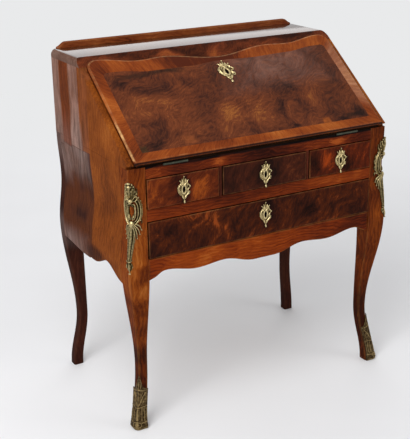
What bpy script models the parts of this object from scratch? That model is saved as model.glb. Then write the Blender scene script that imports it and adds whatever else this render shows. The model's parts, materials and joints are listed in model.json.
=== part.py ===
"""Slant-front desk on cabriole legs, after a French provincial bureau of the 1750s.

Metres, +Z up, the front towards -Y, the origin on the floor at the middle of the desk's box.
The fall and all that rides on it are drawn flat in the slope's own frame (x, up the slope, outwards)
under an empty on the hinge line. Each drawer is drawn in the frame of an empty in its opening.
"""

import math

import bpy
import bmesh

# Overall form
CASE_WIDTH = 0.796
CASE_DEPTH = 0.461
TOP_HEIGHT = 0.955
TOP_DEPTH = 0.1647
BED_HEIGHT = 0.725

# Clearances
SEAT = 0.0003
DRAWER_PLAY = 0.0010
LIP_CLEARANCE = 0.0010
BOLT_PLAY = 0.0003
HINGE_PLAY = 0.0006
MOUNT_SEAT = 0.0009
CUT = 0.010

# Legs: one piece each, a square post above the knee and a cabriole leg below it
POST = 0.049
POST_EASE = 0.0010
LEG_EASE = 0.0030
WAIST_DROP = 0.125
WAIST_IN = 0.006
KNEE_DROP = 0.018
KNEE_SIDE_OUT = 0.007
KNEE_FRONT_OUT = 0.004
ANKLE_HEIGHT = 0.175
ANKLE_SIDE_IN = 0.022
ANKLE_FRONT_IN = 0.029
ANKLE_BACK_IN = 0.007
ANKLE_WIDTH = 0.0270
FOOT_SIDE_IN = 0.002
FOOT_FRONT_IN = 0.009
FOOT_BACK_OUT = 0.009
FOOT_WIDTH = 0.029
BACK_POST_DEPTH = 0.030
FOOT_LEVELS = 9
SHANK_LEVELS = 11
KNEE_LEVELS = 3
POST_LEVELS = 10

# Front foot mounts
SABOT_COLLAR = 0.108
SABOT_TONGUE = 0.040
SABOT_WALL = 0.003
SABOT_EDGE = 0.002
SABOT_TOE = 0.009
SABOT_TOE_HEIGHT = 0.012
SABOT_WAIST_HEIGHT = 0.060
SABOT_LEVELS = 9

# Front, from the writing level down
TOP_RAIL_HEIGHT = 0.031
UPPER_DRAWER_HEIGHT = 0.081
MID_RAIL_HEIGHT = 0.031
LOWER_DRAWER_HEIGHT = 0.101
TOP_RAIL_DEPTH = 0.055
MID_RAIL_DEPTH = 0.045
APRON_THICKNESS = 0.022
CENTRE_DRAWER_WIDTH = 0.262
DIVIDER_THICKNESS = 0.009

# Front apron's lower edge: share of the half span, and drop below the lower drawer
APRON_EDGE = ((0.09, 0.065), (0.36, 0.046), (0.59, 0.0525), (0.86, 0.0385), (1.0, 0.058))
APRON_STEPS = 36

# Side panels' lower edge: share of the span from the front leg, and drop below the lower drawer
SIDE_EDGE = ((0.0, 0.072), (0.237, 0.039), (0.45, 0.0655), (0.60, 0.070), (1.0, 0.060))
SIDE_THICKNESS = 0.016
SIDE_COLUMNS = 17
SIDE_ROWS = 11

# Upper case
CHEEK_THICKNESS = 0.024
FRAME_PROUD = 0.008
NOSE_LIP = 0.0025
NOSE_NOTCH = 0.010
TOP_THICKNESS = 0.022
TOP_END_RADIUS = 0.015
TOP_END_STEPS = 5
HEAD_INSIDE = 0.008
BACK_THICKNESS = 0.012
BACK_SETBACK = 0.004
BACK_LOWER_DROP = 0.040
BED_THICKNESS = 0.018
DUST_BOARD_THICKNESS = 0.012
BEARER_WIDTH = 0.030
BEARER_HEIGHT = 0.020
GALLERY_HEIGHT = 0.0165
GALLERY_END_HEIGHT = 0.004
GALLERY_THICKNESS = 0.012
GALLERY_END_INSET = 0.015
GALLERY_OGEE = 0.026
GALLERY_OGEE_STEPS = 6

# Fall: a lipped board, its lip lying over the edges of the cheeks and the head
FALL_THICKNESS = 0.020
FALL_FOOT_GAP = 0.0006
LIP_INSET = 0.0166
LIP_CORNER = 0.030
LIP_LAP = 0.0135
HEAD_CENTRE = 0.061
HEAD_CREST = 0.038
HEAD_DIP = 0.042
HEAD_SHOULDER = 0.024
CREST_SHARE = 0.47
DIP_SHARE = 0.66
LIP_STEPS = 20
CORNER_STEPS = 6
LEATHER_THICKNESS = 0.0015
LEATHER_SIDE_MARGIN = 0.060
LEATHER_FOOT_MARGIN = 0.045
LEATHER_LOCK_MARGIN = 0.008

# Butt hinges of the fall
HINGE_LENGTH = 0.070
HINGE_INSET = 0.133
LEAF_WIDTH = 0.026
LEAF_THICKNESS = 0.0020
KNUCKLE_RADIUS = 0.0030
PIN_RADIUS = 0.0012
ROUND_SIDES = 16

# Drawers
FRONT_THICKNESS = 0.020
FRONT_PROUD = 0.003
FRONT_EASE = 0.0015
BOX_INSET = 0.0005
BOX_DROP = 0.014
BOX_WALL = 0.009
BOX_BOTTOM = 0.006
DRAWER_BACK_ROOM = 0.043
LOWER_KEYHOLE_RISE = 0.010

# Locks, one in each drawer and one in the fall
LOCK_WIDTH = 0.046
LOCK_HEIGHT = 0.032
FALL_LOCK_HEIGHT = 0.060
LOCK_DEPTH = 0.009
LOCK_SETBACK = 0.002
FALL_KEYHOLE_RISE = 0.015
BOLT_WIDTH = 0.014
BOLT_THICKNESS = 0.003
BOLT_LENGTH = 0.022
BOLT_THROW = 0.010
MORTISE_PLAY = 0.0005

# Keyhole plates
PLATE_HALF_WIDTH = 0.0225
PLATE_HALF_HEIGHT = 0.040
FALL_PLATE_HALF_WIDTH = 0.0300
FALL_PLATE_HALF_HEIGHT = 0.0450
PLATE_THICKNESS = 0.003
PLATE_LOBES = 5
PLATE_LOBE_DEPTH = 0.12
PLATE_STEPS = 40
KEYHOLE_RADIUS = 0.0030
KEYHOLE_SLOT = 0.0024
KEYHOLE_LENGTH = 0.010
KEYHOLE_STEPS = 9

# Nest of pigeonholes behind the fall
NEST_DEPTH = 0.200
NEST_CLEARANCE = 0.012
NEST_BAY = 0.250
NEST_BOARD = 0.008
INNER_DRAWER_HEIGHT = 0.066
INNER_DRAWER_WALL = 0.006
INNER_DRAWER_FRONT = 0.010
INNER_PLAY = 0.0010
KNOB_RADIUS = 0.0075
KNOB_LENGTH = 0.018

# Corner mounts
CHUTE_TOP_DROP = 0.030
CHUTE_TAIL_DROP = 0.026
CHUTE_HALF_WIDTH = 0.030
CHUTE_THICKNESS = 0.008
CHUTE_EDGE = 0.0015
CHUTE_LEVELS = 23
CHUTE_WIDTH_SHARES = (
    (0.0, 0.10),
    (0.25, 0.42),
    (0.38, 0.54),
    (0.46, 0.72),
    (0.54, 0.56),
    (0.69, 1.0),
    (0.86, 0.54),
    (1.0, 0.16),
)
CHUTE_RELIEF_SHARES = ((0.0, 0.35), (0.40, 0.60), (0.70, 1.0), (1.0, 0.45))

# Places worked out from the sizes above; the slope runs from the writing level to the flat top
SLOPE_RISE = TOP_HEIGHT - BED_HEIGHT
SLOPE_RUN = CASE_DEPTH - TOP_DEPTH
SLOPE_ANGLE = math.acos(FRAME_PROUD / math.hypot(SLOPE_RISE, SLOPE_RUN)) - math.atan2(SLOPE_RUN, SLOPE_RISE)
SLOPE_SIN = math.sin(SLOPE_ANGLE)
SLOPE_COS = math.cos(SLOPE_ANGLE)
SLOPE_TAN = math.tan(SLOPE_ANGLE)
FALL_REACH = FALL_THICKNESS * SLOPE_SIN - FALL_FOOT_GAP * SLOPE_COS
HALF = CASE_WIDTH / 2
OPEN_HALF = HALF - POST
CHEEK_INNER = HALF - CHEEK_THICKNESS
FRONT = (FALL_REACH - CASE_DEPTH - FOOT_BACK_OUT) / 2
BACK = FRONT + CASE_DEPTH
BACK_INNER = BACK - BACK_SETBACK - BACK_THICKNESS
UPPER_TOP = BED_HEIGHT - TOP_RAIL_HEIGHT
UPPER_FLOOR = UPPER_TOP - UPPER_DRAWER_HEIGHT
LOWER_TOP = UPPER_FLOOR - MID_RAIL_HEIGHT
LOWER_FLOOR = LOWER_TOP - LOWER_DRAWER_HEIGHT
KNEE_HEIGHT = LOWER_FLOOR - KNEE_DROP
SPRING_HEIGHT = LOWER_FLOOR - max(drop for share, drop in SIDE_EDGE + APRON_EDGE)
WAIST_HEIGHT = BED_HEIGHT - WAIST_DROP
TOP_UNDERSIDE = TOP_HEIGHT - TOP_THICKNESS
SLOPE_LENGTH = (SLOPE_RISE - FRAME_PROUD * SLOPE_COS) / SLOPE_SIN
LIP_HALF = HALF - LIP_INSET
LIP_BACK = FRAME_PROUD + LIP_CLEARANCE
BODY_HALF = CHEEK_INNER - LIP_CLEARANCE
BODY_LENGTH = SLOPE_LENGTH - HEAD_CENTRE - LIP_LAP
NEST_FRONT = BACK_INNER - NEST_DEPTH
SHELF_UNDERSIDE = BED_HEIGHT + INNER_DRAWER_HEIGHT + 2 * INNER_PLAY
PLATE_FACE = FRONT_PROUD + SEAT

# Colour, roughness and metallic value of each finish
FINISHES = {
    "walnut": ((0.20, 0.075, 0.022), 0.30, 0.0),
    "walnut_burr": ((0.12, 0.045, 0.018), 0.26, 0.0),
    "fruitwood": ((0.24, 0.075, 0.018), 0.32, 0.0),
    "oak": ((0.36, 0.24, 0.12), 0.60, 0.0),
    "gilt_bronze": ((0.50, 0.40, 0.18), 0.36, 1.0),
    "brass": ((0.52, 0.38, 0.14), 0.34, 1.0),
    "iron": ((0.10, 0.09, 0.08), 0.50, 1.0),
    "leather": ((0.06, 0.09, 0.05), 0.48, 0.0),
}


def ease(start, end, share):
    """A smooth swing from start to end as share goes from 0 to 1."""
    return start + (end - start) * (1 - math.cos(math.pi * share)) / 2


def through(stations, place):
    """The value at a place on the curve that swings from each (place, value) station to the next."""
    if place <= stations[0][0]:
        return stations[0][1]
    for (low, first), (high, second) in zip(stations, stations[1:]):
        if place <= high:
            return ease(first, second, (place - low) / (high - low))
    return stations[-1][1]


def spread(start, end, count):
    """Evenly spaced values, both ends included."""
    return [start + (end - start) * k / (count - 1) for k in range(count)]


def without_doubles(outline):
    """The outline with each point that repeats the one before it left out."""
    kept = []
    for point in outline:
        if not kept or math.dist(point, kept[-1]) > SEAT / 10:
            kept.append(point)
    return kept


def add_solid(name, points, faces, finish, parent=None, helper=False):
    """A closed mesh object facing outwards, with its own material. A helper is left out of the model."""
    mesh = bpy.data.meshes.new(name)
    mesh.from_pydata(points, [], faces)
    shape = bmesh.new()
    shape.from_mesh(mesh)
    bmesh.ops.recalc_face_normals(shape, faces=shape.faces)
    shape.to_mesh(mesh)
    shape.free()
    obj = bpy.data.objects.new(name, mesh)
    bpy.context.scene.collection.objects.link(obj)
    obj.parent = parent
    if helper:
        obj.hide_render = True
        obj.display_type = "WIRE"
        return obj
    colour, roughness, metallic = FINISHES[finish]
    material = bpy.data.materials.new(f"{name}_{finish}")
    material.use_nodes = True
    shader = material.node_tree.nodes["Principled BSDF"]
    shader.inputs["Base Color"].default_value = (*colour, 1)
    shader.inputs["Roughness"].default_value = roughness
    shader.inputs["Metallic"].default_value = metallic
    mesh.materials.append(material)
    return obj


def prism(name, outline, low, high, place, finish=None, parent=None, helper=False):
    """An outline of (u, v) points drawn out from low to high; place turns (u, v, t) into a point."""
    count = len(outline)
    points = [place(u, v, low) for u, v in outline] + [place(u, v, high) for u, v in outline]
    faces = [tuple(range(count)), tuple(range(count, 2 * count))]
    for k in range(count):
        after = (k + 1) % count
        faces.append((k, after, count + after, count + k))
    return add_solid(name, points, faces, finish, parent, helper)


def loft(name, rings, finish=None, parent=None, helper=False):
    """Rings of equally many points joined one after another, with a cap on the first and the last."""
    count = len(rings[0])
    points = [point for ring in rings for point in ring]
    faces = [tuple(range(count)), tuple(range(len(points) - count, len(points)))]
    for row in range(len(rings) - 1):
        for k in range(count):
            after = (k + 1) % count
            start = row * count
            faces.append((start + k, start + after, start + count + after, start + count + k))
    return add_solid(name, points, faces, finish, parent, helper)


def block(name, low, high, finish=None, parent=None, helper=False):
    """A box between two corners."""
    outline = [(low[0], low[1]), (high[0], low[1]), (high[0], high[1]), (low[0], high[1])]
    return prism(name, outline, low[2], high[2], lambda u, v, t: (u, v, t), finish, parent, helper)


def rod(name, radius, start, end, across, finish=None, parent=None, helper=False):
    """A round bar along X from start to end, its axis at across = (y, z)."""
    turns = [2 * math.pi * k / ROUND_SIDES for k in range(ROUND_SIDES)]
    outline = [(across[0] + radius * math.cos(a), across[1] + radius * math.sin(a)) for a in turns]
    return prism(name, outline, start, end, lambda u, v, t: (t, u, v), finish, parent, helper)


def combine(obj, other, operation):
    """Cuts a helper from a piece, or joins it on."""
    modifier = obj.modifiers.new(other.name, "BOOLEAN")
    modifier.operation = operation
    modifier.solver = "EXACT"
    modifier.object = other


def soften(obj, width):
    """A small flat on every edge of a board."""
    modifier = obj.modifiers.new("eased_edges", "BEVEL")
    modifier.width = width
    modifier.segments = 1
    modifier.limit_method = "ANGLE"


def add_axis(name, location, turn=0.0):
    """An empty on a joint's axis; what moves with the joint is its child."""
    empty = bpy.data.objects.new(name, None)
    empty.location = location
    empty.rotation_euler = (turn, 0, 0)
    bpy.context.scene.collection.objects.link(empty)
    return empty


def upright_plane(u, v, t):
    """An outline in (y, z) drawn out along X."""
    return (t, u, v)


def level_plane(u, v, t):
    """An outline in (x, y) drawn out along Z."""
    return (u, v, t)


def slope_front(height, outwards):
    """Y of the plane that lies outwards of the slope's inner face, at a height."""
    return FRONT + (height - BED_HEIGHT - outwards / SLOPE_COS) / SLOPE_TAN


def side_swell(height):
    """How far the desk's side stands out of its straight plane at a height."""
    stations = (
        (0, -FOOT_SIDE_IN),
        (ANKLE_HEIGHT, -ANKLE_SIDE_IN),
        (KNEE_HEIGHT, KNEE_SIDE_OUT),
        (WAIST_HEIGHT, -WAIST_IN),
        (BED_HEIGHT, 0),
    )
    return through(stations, height)


def front_swell(height, end=-1):
    """The same for the front (end -1) and the back (end 1): flat above the knee."""
    foot = -FOOT_FRONT_IN if end < 0 else FOOT_BACK_OUT
    ankle = -ANKLE_FRONT_IN if end < 0 else -ANKLE_BACK_IN
    knee = KNEE_FRONT_OUT if end < 0 else 0
    stations = ((0, foot), (ANKLE_HEIGHT, ankle), (KNEE_HEIGHT, knee), (LOWER_FLOOR, 0))
    return through(stations, height)


def leg_inside(height, foot, ankle, post):
    """Where a leg's inner face lies, counted outwards from the case's plane."""
    stations = ((0, foot - FOOT_WIDTH), (ANKLE_HEIGHT, ankle - ANKLE_WIDTH), (SPRING_HEIGHT, -post))
    return through(stations, height)


def leg_section(side, end, height, grow_out=0.0, grow_in=0.0):
    """A leg's square section with eased corners; its first two points flank the arris at the desk's corner."""
    out_x = HALF + side_swell(height) + grow_out
    out_y = front_swell(height, end) + grow_out
    in_x = HALF + leg_inside(height, -FOOT_SIDE_IN, -ANKLE_SIDE_IN, POST) - grow_in
    depth = POST if end < 0 else BACK_POST_DEPTH
    in_y = leg_inside(height, front_swell(0, end), front_swell(ANKLE_HEIGHT, end), depth) - grow_in
    flat = through(((ANKLE_HEIGHT, LEG_EASE), (KNEE_HEIGHT, POST_EASE)), height)
    corners = (
        (out_x - flat, out_y),
        (out_x, out_y - flat),
        (out_x, in_y + flat),
        (out_x - flat, in_y),
        (in_x + flat, in_y),
        (in_x, in_y + flat),
        (in_x, out_y - flat),
        (in_x + flat, out_y),
    )
    plane = FRONT if end < 0 else BACK
    return [(side * x, plane + end * y, height) for x, y in corners]


def make_leg(name, side, end):
    heights = spread(0, ANKLE_HEIGHT, FOOT_LEVELS)
    heights += spread(ANKLE_HEIGHT, SPRING_HEIGHT, SHANK_LEVELS)[1:]
    heights += spread(SPRING_HEIGHT, KNEE_HEIGHT, KNEE_LEVELS)[1:]
    heights += spread(KNEE_HEIGHT, LOWER_FLOOR, KNEE_LEVELS)[1:]
    heights += spread(LOWER_FLOOR, BED_HEIGHT - SEAT, POST_LEVELS)[1:]
    loft(name, [leg_section(side, end, height) for height in heights], "walnut")


def make_sabot(name, side):
    """A cast foot mount bent round the two outer faces of a front foot, with a tongue up the arris."""
    relief = (
        (0, SABOT_TOE - SABOT_WALL),
        (SABOT_TOE_HEIGHT, SABOT_TOE),
        (SABOT_WAIST_HEIGHT, SABOT_WALL),
        (SABOT_COLLAR, SABOT_WALL),
    )
    rings = []
    for z in spread(0, SABOT_COLLAR, SABOT_LEVELS):
        fit = leg_section(side, -1, z, MOUNT_SEAT, -SABOT_EDGE)
        face = leg_section(side, -1, z, MOUNT_SEAT + through(relief, z), -SABOT_EDGE)
        rings.append([fit[7], fit[0], fit[1], fit[2], face[2], face[1], face[0], face[7]])
    arris = (1, 2, 5, 6)
    crown = rings[-1]
    rings[-1] = [(x, y, z + SABOT_TONGUE * (k in arris)) for k, (x, y, z) in enumerate(crown)]
    loft(name, rings, "gilt_bronze")


def make_chute(name, side):
    """A cast corner mount bent round the arris of a front post."""
    low = LOWER_FLOOR - CHUTE_TAIL_DROP
    high = BED_HEIGHT - CHUTE_TOP_DROP
    rings = []
    for share in spread(0, 1, CHUTE_LEVELS):
        z = low + (high - low) * share
        width = CHUTE_HALF_WIDTH * through(CHUTE_WIDTH_SHARES, share)
        relief = CHUTE_THICKNESS * through(CHUTE_RELIEF_SHARES, share)
        x = HALF + side_swell(z) + MOUNT_SEAT
        y = front_swell(z) + MOUNT_SEAT
        edge = min(CHUTE_EDGE, relief)
        section = (
            (x - MOUNT_SEAT - width, y),
            (x, y),
            (x, y - MOUNT_SEAT - width),
            (x + edge, y - MOUNT_SEAT - width),
            (x + relief, y - width / 2),
            (x + relief, y + relief),
            (x - width / 2, y + relief),
            (x - MOUNT_SEAT - width, y + edge),
        )
        rings.append([(side * across, FRONT - out, z) for across, out in section])
    loft(name, rings, "gilt_bronze")


def make_side_panel(name, side):
    """A board bent in an S between the posts, with a shaped lower edge."""
    start = FRONT + POST + SEAT
    end = BACK - BACK_POST_DEPTH - SEAT
    outer = []
    for share in spread(0, 1, SIDE_COLUMNS):
        y = start + (end - start) * share
        bottom = LOWER_FLOOR - through(SIDE_EDGE, share)
        heights = spread(bottom, BED_HEIGHT - SEAT, SIDE_ROWS)
        outer.append([(HALF + side_swell(z), y, z) for z in heights])
    rings = []
    for column in outer:
        inner = [(x - SIDE_THICKNESS, y, z) for x, y, z in reversed(column)]
        rings.append([(side * x, y, z) for x, y, z in column + inner])
    count = len(rings[0])
    points = [point for ring in rings for point in ring]
    faces = []
    for row in range(len(rings) - 1):
        start_index = row * count
        for k in range(count):
            after = (k + 1) % count
            faces.append(
                (start_index + k, start_index + after, start_index + count + after, start_index + count + k)
            )
    for first in (0, len(points) - count):
        for k in range(SIDE_ROWS - 1):
            across = count - 1 - k
            faces.append((first + k, first + k + 1, first + across - 1, first + across))
    add_solid(name, points, faces, "walnut")


def make_cheek(name, side):
    """An upper side board. Its sloping edge ends in a nose over a shadow notch above the post."""
    ceiling = TOP_UNDERSIDE - SEAT
    nose = BED_HEIGHT + FRAME_PROUD / SLOPE_COS
    outline = (
        (FRONT + NOSE_NOTCH, BED_HEIGHT),
        (BACK, BED_HEIGHT),
        (BACK, ceiling),
        (slope_front(ceiling, FRAME_PROUD), ceiling),
        (FRONT, nose),
        (FRONT, nose - NOSE_LIP),
        (FRONT + NOSE_NOTCH, nose - NOSE_LIP),
    )
    prism(name, outline, side * CHEEK_INNER, side * HALF, upright_plane, "walnut")


def make_top():
    """The narrow flat top: its front edge lies in the slope, its ends are rounded over."""
    rings = []
    arc = spread(0, math.pi / 2, TOP_END_STEPS)
    ends = [(HALF - TOP_END_RADIUS * (1 - math.cos(a)), TOP_END_RADIUS * (1 - math.sin(a))) for a in arc]
    sections = [(-x, drop) for x, drop in ends] + [(x, drop) for x, drop in reversed(ends)]
    for x, drop in sections:
        surface = TOP_HEIGHT - drop
        rings.append(
            [
                (x, BACK, TOP_UNDERSIDE),
                (x, slope_front(TOP_UNDERSIDE, FRAME_PROUD), TOP_UNDERSIDE),
                (x, slope_front(surface, FRAME_PROUD), surface),
                (x, BACK, surface),
            ]
        )
    loft("top_board", rings, "walnut")


def make_gallery():
    """A low rail along the back of the top, its ends cut in an ogee."""
    reach = HALF - GALLERY_END_INSET
    half = [
        (reach - GALLERY_OGEE * share, ease(GALLERY_END_HEIGHT, GALLERY_HEIGHT, share))
        for share in spread(0, 1, GALLERY_OGEE_STEPS)
    ]
    base = TOP_HEIGHT + SEAT
    right = [(reach, base)] + [(x, base + rise) for x, rise in half]
    left = [(-x, z) for x, z in reversed(right)]
    prism(
        "top_gallery",
        right + left,
        BACK - GALLERY_THICKNESS,
        BACK,
        lambda u, v, t: (u, t, v),
        "walnut",
    )


def make_head_panel(bolt_mortise):
    """The board between the cheeks behind the fall's upper edge, which the fall's bolt shoots into."""
    ceiling = TOP_UNDERSIDE - SEAT - BED_HEIGHT
    low = BODY_LENGTH + DRAWER_PLAY
    outline = (
        (low, -HEAD_INSIDE),
        (low, FRAME_PROUD),
        ((ceiling - FRAME_PROUD * SLOPE_COS) / SLOPE_SIN, FRAME_PROUD),
        ((ceiling + HEAD_INSIDE * SLOPE_COS) / SLOPE_SIN, -HEAD_INSIDE),
    )
    reach = CHEEK_INNER - SEAT
    slope = add_axis("slope_frame", (0, FRONT, BED_HEIGHT), SLOPE_ANGLE)
    panel = prism("head_panel", outline, -reach, reach, upright_plane, "walnut", slope)
    combine(panel, bolt_mortise, "DIFFERENCE")


def make_back():
    """Back board: between the back legs below the writing level, between the cheeks above it."""
    lower = OPEN_HALF - SEAT
    upper = CHEEK_INNER - SEAT
    bottom = LOWER_FLOOR - BACK_LOWER_DROP
    right = [(lower, bottom), (lower, BED_HEIGHT), (upper, BED_HEIGHT), (upper, TOP_UNDERSIDE - SEAT)]
    left = [(-x, z) for x, z in reversed(right)]
    outer = BACK - BACK_SETBACK
    prism("back_panel", right + left, BACK_INNER, outer, lambda u, v, t: (u, t, v), "oak")


def make_bed():
    """Writing bed between the side panels, notched round the back legs."""
    front = FRONT + TOP_RAIL_DEPTH + SEAT
    notch = BACK - BACK_POST_DEPTH - SEAT
    back = BACK_INNER - SEAT
    reach = HALF - SIDE_THICKNESS - WAIST_IN - SEAT
    narrow = OPEN_HALF - SEAT
    right = [(reach, front), (reach, notch), (narrow, notch), (narrow, back)]
    left = [(-x, y) for x, y in reversed(right)]
    top = BED_HEIGHT - SEAT
    prism("writing_bed", right + left, top - BED_THICKNESS, top, level_plane, "walnut")


def make_rails(upper_mortises, lower_mortise, hinge_cuts):
    reach = OPEN_HALF - SEAT
    top = BED_HEIGHT - SEAT
    rail = block("top_rail", (-reach, FRONT, UPPER_TOP), (reach, FRONT + TOP_RAIL_DEPTH, top), "fruitwood")
    for cutter in upper_mortises + hinge_cuts:
        combine(rail, cutter, "DIFFERENCE")
    rail = block(
        "mid_rail",
        (-reach, FRONT, LOWER_TOP),
        (reach, FRONT + MID_RAIL_DEPTH, UPPER_FLOOR),
        "fruitwood",
    )
    combine(rail, lower_mortise, "DIFFERENCE")
    back = BACK_INNER - SEAT
    block(
        "dust_board",
        (-reach, FRONT + MID_RAIL_DEPTH + SEAT, UPPER_FLOOR - DUST_BOARD_THICKNESS),
        (reach, back, UPPER_FLOOR),
        "oak",
    )
    for word, side in (("left", -1), ("right", 1)):
        inner = side * CENTRE_DRAWER_WIDTH / 2
        outer = inner + side * DIVIDER_THICKNESS
        block(
            f"drawer_divider_{word}",
            (min(inner, outer), FRONT, UPPER_FLOOR + SEAT),
            (max(inner, outer), back, UPPER_TOP - SEAT),
            "fruitwood",
        )


def make_apron():
    reach = OPEN_HALF - SEAT
    shares = spread(-1, 1, APRON_STEPS + 1)
    edge = [(reach * share, LOWER_FLOOR - through(APRON_EDGE, abs(share))) for share in shares]
    outline = edge + [(reach, LOWER_FLOOR), (-reach, LOWER_FLOOR)]
    prism(
        "front_apron",
        outline,
        FRONT,
        FRONT + APRON_THICKNESS,
        lambda u, v, t: (u, t, v),
        "fruitwood",
    )


def make_bearers():
    """Runners of the lower drawer, joined by a cross rail at the back."""
    reach = OPEN_HALF - SEAT
    inner = reach - BEARER_WIDTH
    front = FRONT + APRON_THICKNESS + SEAT
    back = BACK_INNER - SEAT
    right = [(reach, back), (reach, front), (inner, front), (inner, back - BEARER_WIDTH)]
    left = [(-x, y) for x, y in reversed(right)]
    prism(
        "lower_drawer_bearers",
        right + left,
        LOWER_FLOOR - BEARER_HEIGHT,
        LOWER_FLOOR,
        level_plane,
        "oak",
    )


def plate_outline(half_width, half_height):
    """A lobed rococo keyhole plate, taller than wide and a little uneven."""
    points = []
    for k in range(PLATE_STEPS):
        a = 2 * math.pi * k / PLATE_STEPS
        lobe = 1 - PLATE_LOBE_DEPTH * (1 - math.cos(PLATE_LOBES * a + math.pi / 2)) / 2
        lobe -= PLATE_LOBE_DEPTH * (1 + math.cos(2 * a)) / 2
        points.append((half_width * lobe * math.cos(a), half_height * lobe * math.sin(a)))
    return points


def keyhole_outline():
    """A round hole over a slot."""
    half = KEYHOLE_SLOT / 2
    lowest = math.asin(half / KEYHOLE_RADIUS)
    turns = spread(-math.pi / 2 + lowest, 3 * math.pi / 2 - lowest, KEYHOLE_STEPS)
    arc = [(KEYHOLE_RADIUS * math.cos(a), KEYHOLE_RADIUS * math.sin(a)) for a in turns]
    return arc + [(-half, -KEYHOLE_LENGTH), (half, -KEYHOLE_LENGTH)]


def make_lock(name, parent, height, place):
    """A lock case with a bolt that rises out of its top. place turns (across, up, deep) into a point."""
    half = LOCK_WIDTH / 2
    body = [(-half, -height), (half, -height), (half, 0), (-half, 0)]
    case = prism(f"{name}_lock_case", body, 0, LOCK_DEPTH, place, "iron", parent)
    reach = BOLT_WIDTH / 2
    middle = LOCK_DEPTH / 2
    grip = BOLT_THICKNESS / 2
    bolt = [(-reach, -BOLT_LENGTH), (reach, -BOLT_LENGTH), (reach, -SEAT), (-reach, -SEAT)]
    prism(f"{name}_lock_bolt", bolt, middle - grip, middle + grip, place, "brass", parent)
    wide = reach + BOLT_PLAY
    deep = BOLT_LENGTH + BOLT_PLAY
    channel = [(-wide, -deep), (wide, -deep), (wide, CUT), (-wide, CUT)]
    thick = grip + BOLT_PLAY
    cutter = prism(f"{name}_lock_channel", channel, middle - thick, middle + thick, place, None, parent, True)
    combine(case, cutter, "DIFFERENCE")


def make_mortise(name, parent, base, place):
    """A cutter for the pocket that a bolt shoots into, from its base up."""
    wide = BOLT_WIDTH / 2 + MORTISE_PLAY
    middle = LOCK_DEPTH / 2
    thick = BOLT_THICKNESS / 2 + MORTISE_PLAY
    low = base - CUT / 10
    high = base + BOLT_THROW
    outline = [(-wide, low), (wide, low), (wide, high), (-wide, high)]
    return prism(f"{name}_mortise", outline, middle - thick, middle + thick, place, None, parent, True)


def make_drawer(name, centre, width, floor, height, keyhole_rise):
    """A drawer in its opening: veneered front, open box, keyhole plate and lock. Returns its bolt's mortise."""
    axis = add_axis(f"{name}_slide", (centre, FRONT, floor))
    half = width / 2 - DRAWER_PLAY
    top = height - DRAWER_PLAY
    back = FRONT_THICKNESS - FRONT_PROUD
    front = block(
        f"{name}_front", (-half, -FRONT_PROUD, DRAWER_PLAY), (half, back, top), "walnut_burr", axis
    )
    soften(front, FRONT_EASE)

    reach = half - BOX_INSET
    start = back + SEAT
    end = BACK_INNER - DRAWER_BACK_ROOM - FRONT
    box_top = top - BOX_DROP
    box = block(f"{name}_box", (-reach, start, SEAT), (reach, end, box_top), "oak", axis)
    hollow = block(
        f"{name}_hollow",
        (-reach + BOX_WALL, start - CUT, SEAT + BOX_BOTTOM),
        (reach - BOX_WALL, end - BOX_WALL, box_top + CUT),
        parent=axis,
        helper=True,
    )
    combine(box, hollow, "DIFFERENCE")

    middle = height / 2 + keyhole_rise
    plate = prism(
        f"{name}_escutcheon",
        plate_outline(PLATE_HALF_WIDTH, PLATE_HALF_HEIGHT),
        0,
        PLATE_THICKNESS,
        lambda u, v, t: (u, -PLATE_FACE - t, middle + v),
        "gilt_bronze",
        axis,
    )
    keyhole = prism(
        f"{name}_keyhole",
        keyhole_outline(),
        -CUT,
        FRONT_THICKNESS,
        lambda u, v, t: (u, t, middle + v),
        parent=axis,
        helper=True,
    )
    combine(plate, keyhole, "DIFFERENCE")
    combine(front, keyhole, "DIFFERENCE")

    def lock_place(across, up, deep):
        return (across, start + deep, top - LOCK_SETBACK + up)

    make_lock(name, axis, LOCK_HEIGHT, lock_place)
    return make_mortise(name, axis, height - top + LOCK_SETBACK, lock_place)


def fall_top(x):
    """How far up the slope the lip's serpentine upper edge lies."""
    stations = (
        (0, SLOPE_LENGTH - HEAD_CENTRE),
        (CREST_SHARE * (LIP_HALF - LIP_CORNER), SLOPE_LENGTH - HEAD_CREST),
        (DIP_SHARE * (LIP_HALF - LIP_CORNER), SLOPE_LENGTH - HEAD_DIP),
        (LIP_HALF - LIP_CORNER, SLOPE_LENGTH - HEAD_SHOULDER),
    )
    return through(stations, abs(x))


def lip_outline():
    """The fall seen square on: straight foot and sides, round shoulders, serpentine upper edge."""
    corner = LIP_HALF - LIP_CORNER
    crown = SLOPE_LENGTH - HEAD_SHOULDER - LIP_CORNER
    arc = spread(0, math.pi / 2, CORNER_STEPS)
    right = [(LIP_HALF, FALL_FOOT_GAP)]
    right += [(corner + LIP_CORNER * math.cos(a), crown + LIP_CORNER * math.sin(a)) for a in arc]
    right += [(x, fall_top(x)) for x in spread(corner, 0, LIP_STEPS)[1:-1]]
    left = [(-x, s) for x, s in reversed(right)]
    return right + [(0, fall_top(0))] + left


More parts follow.
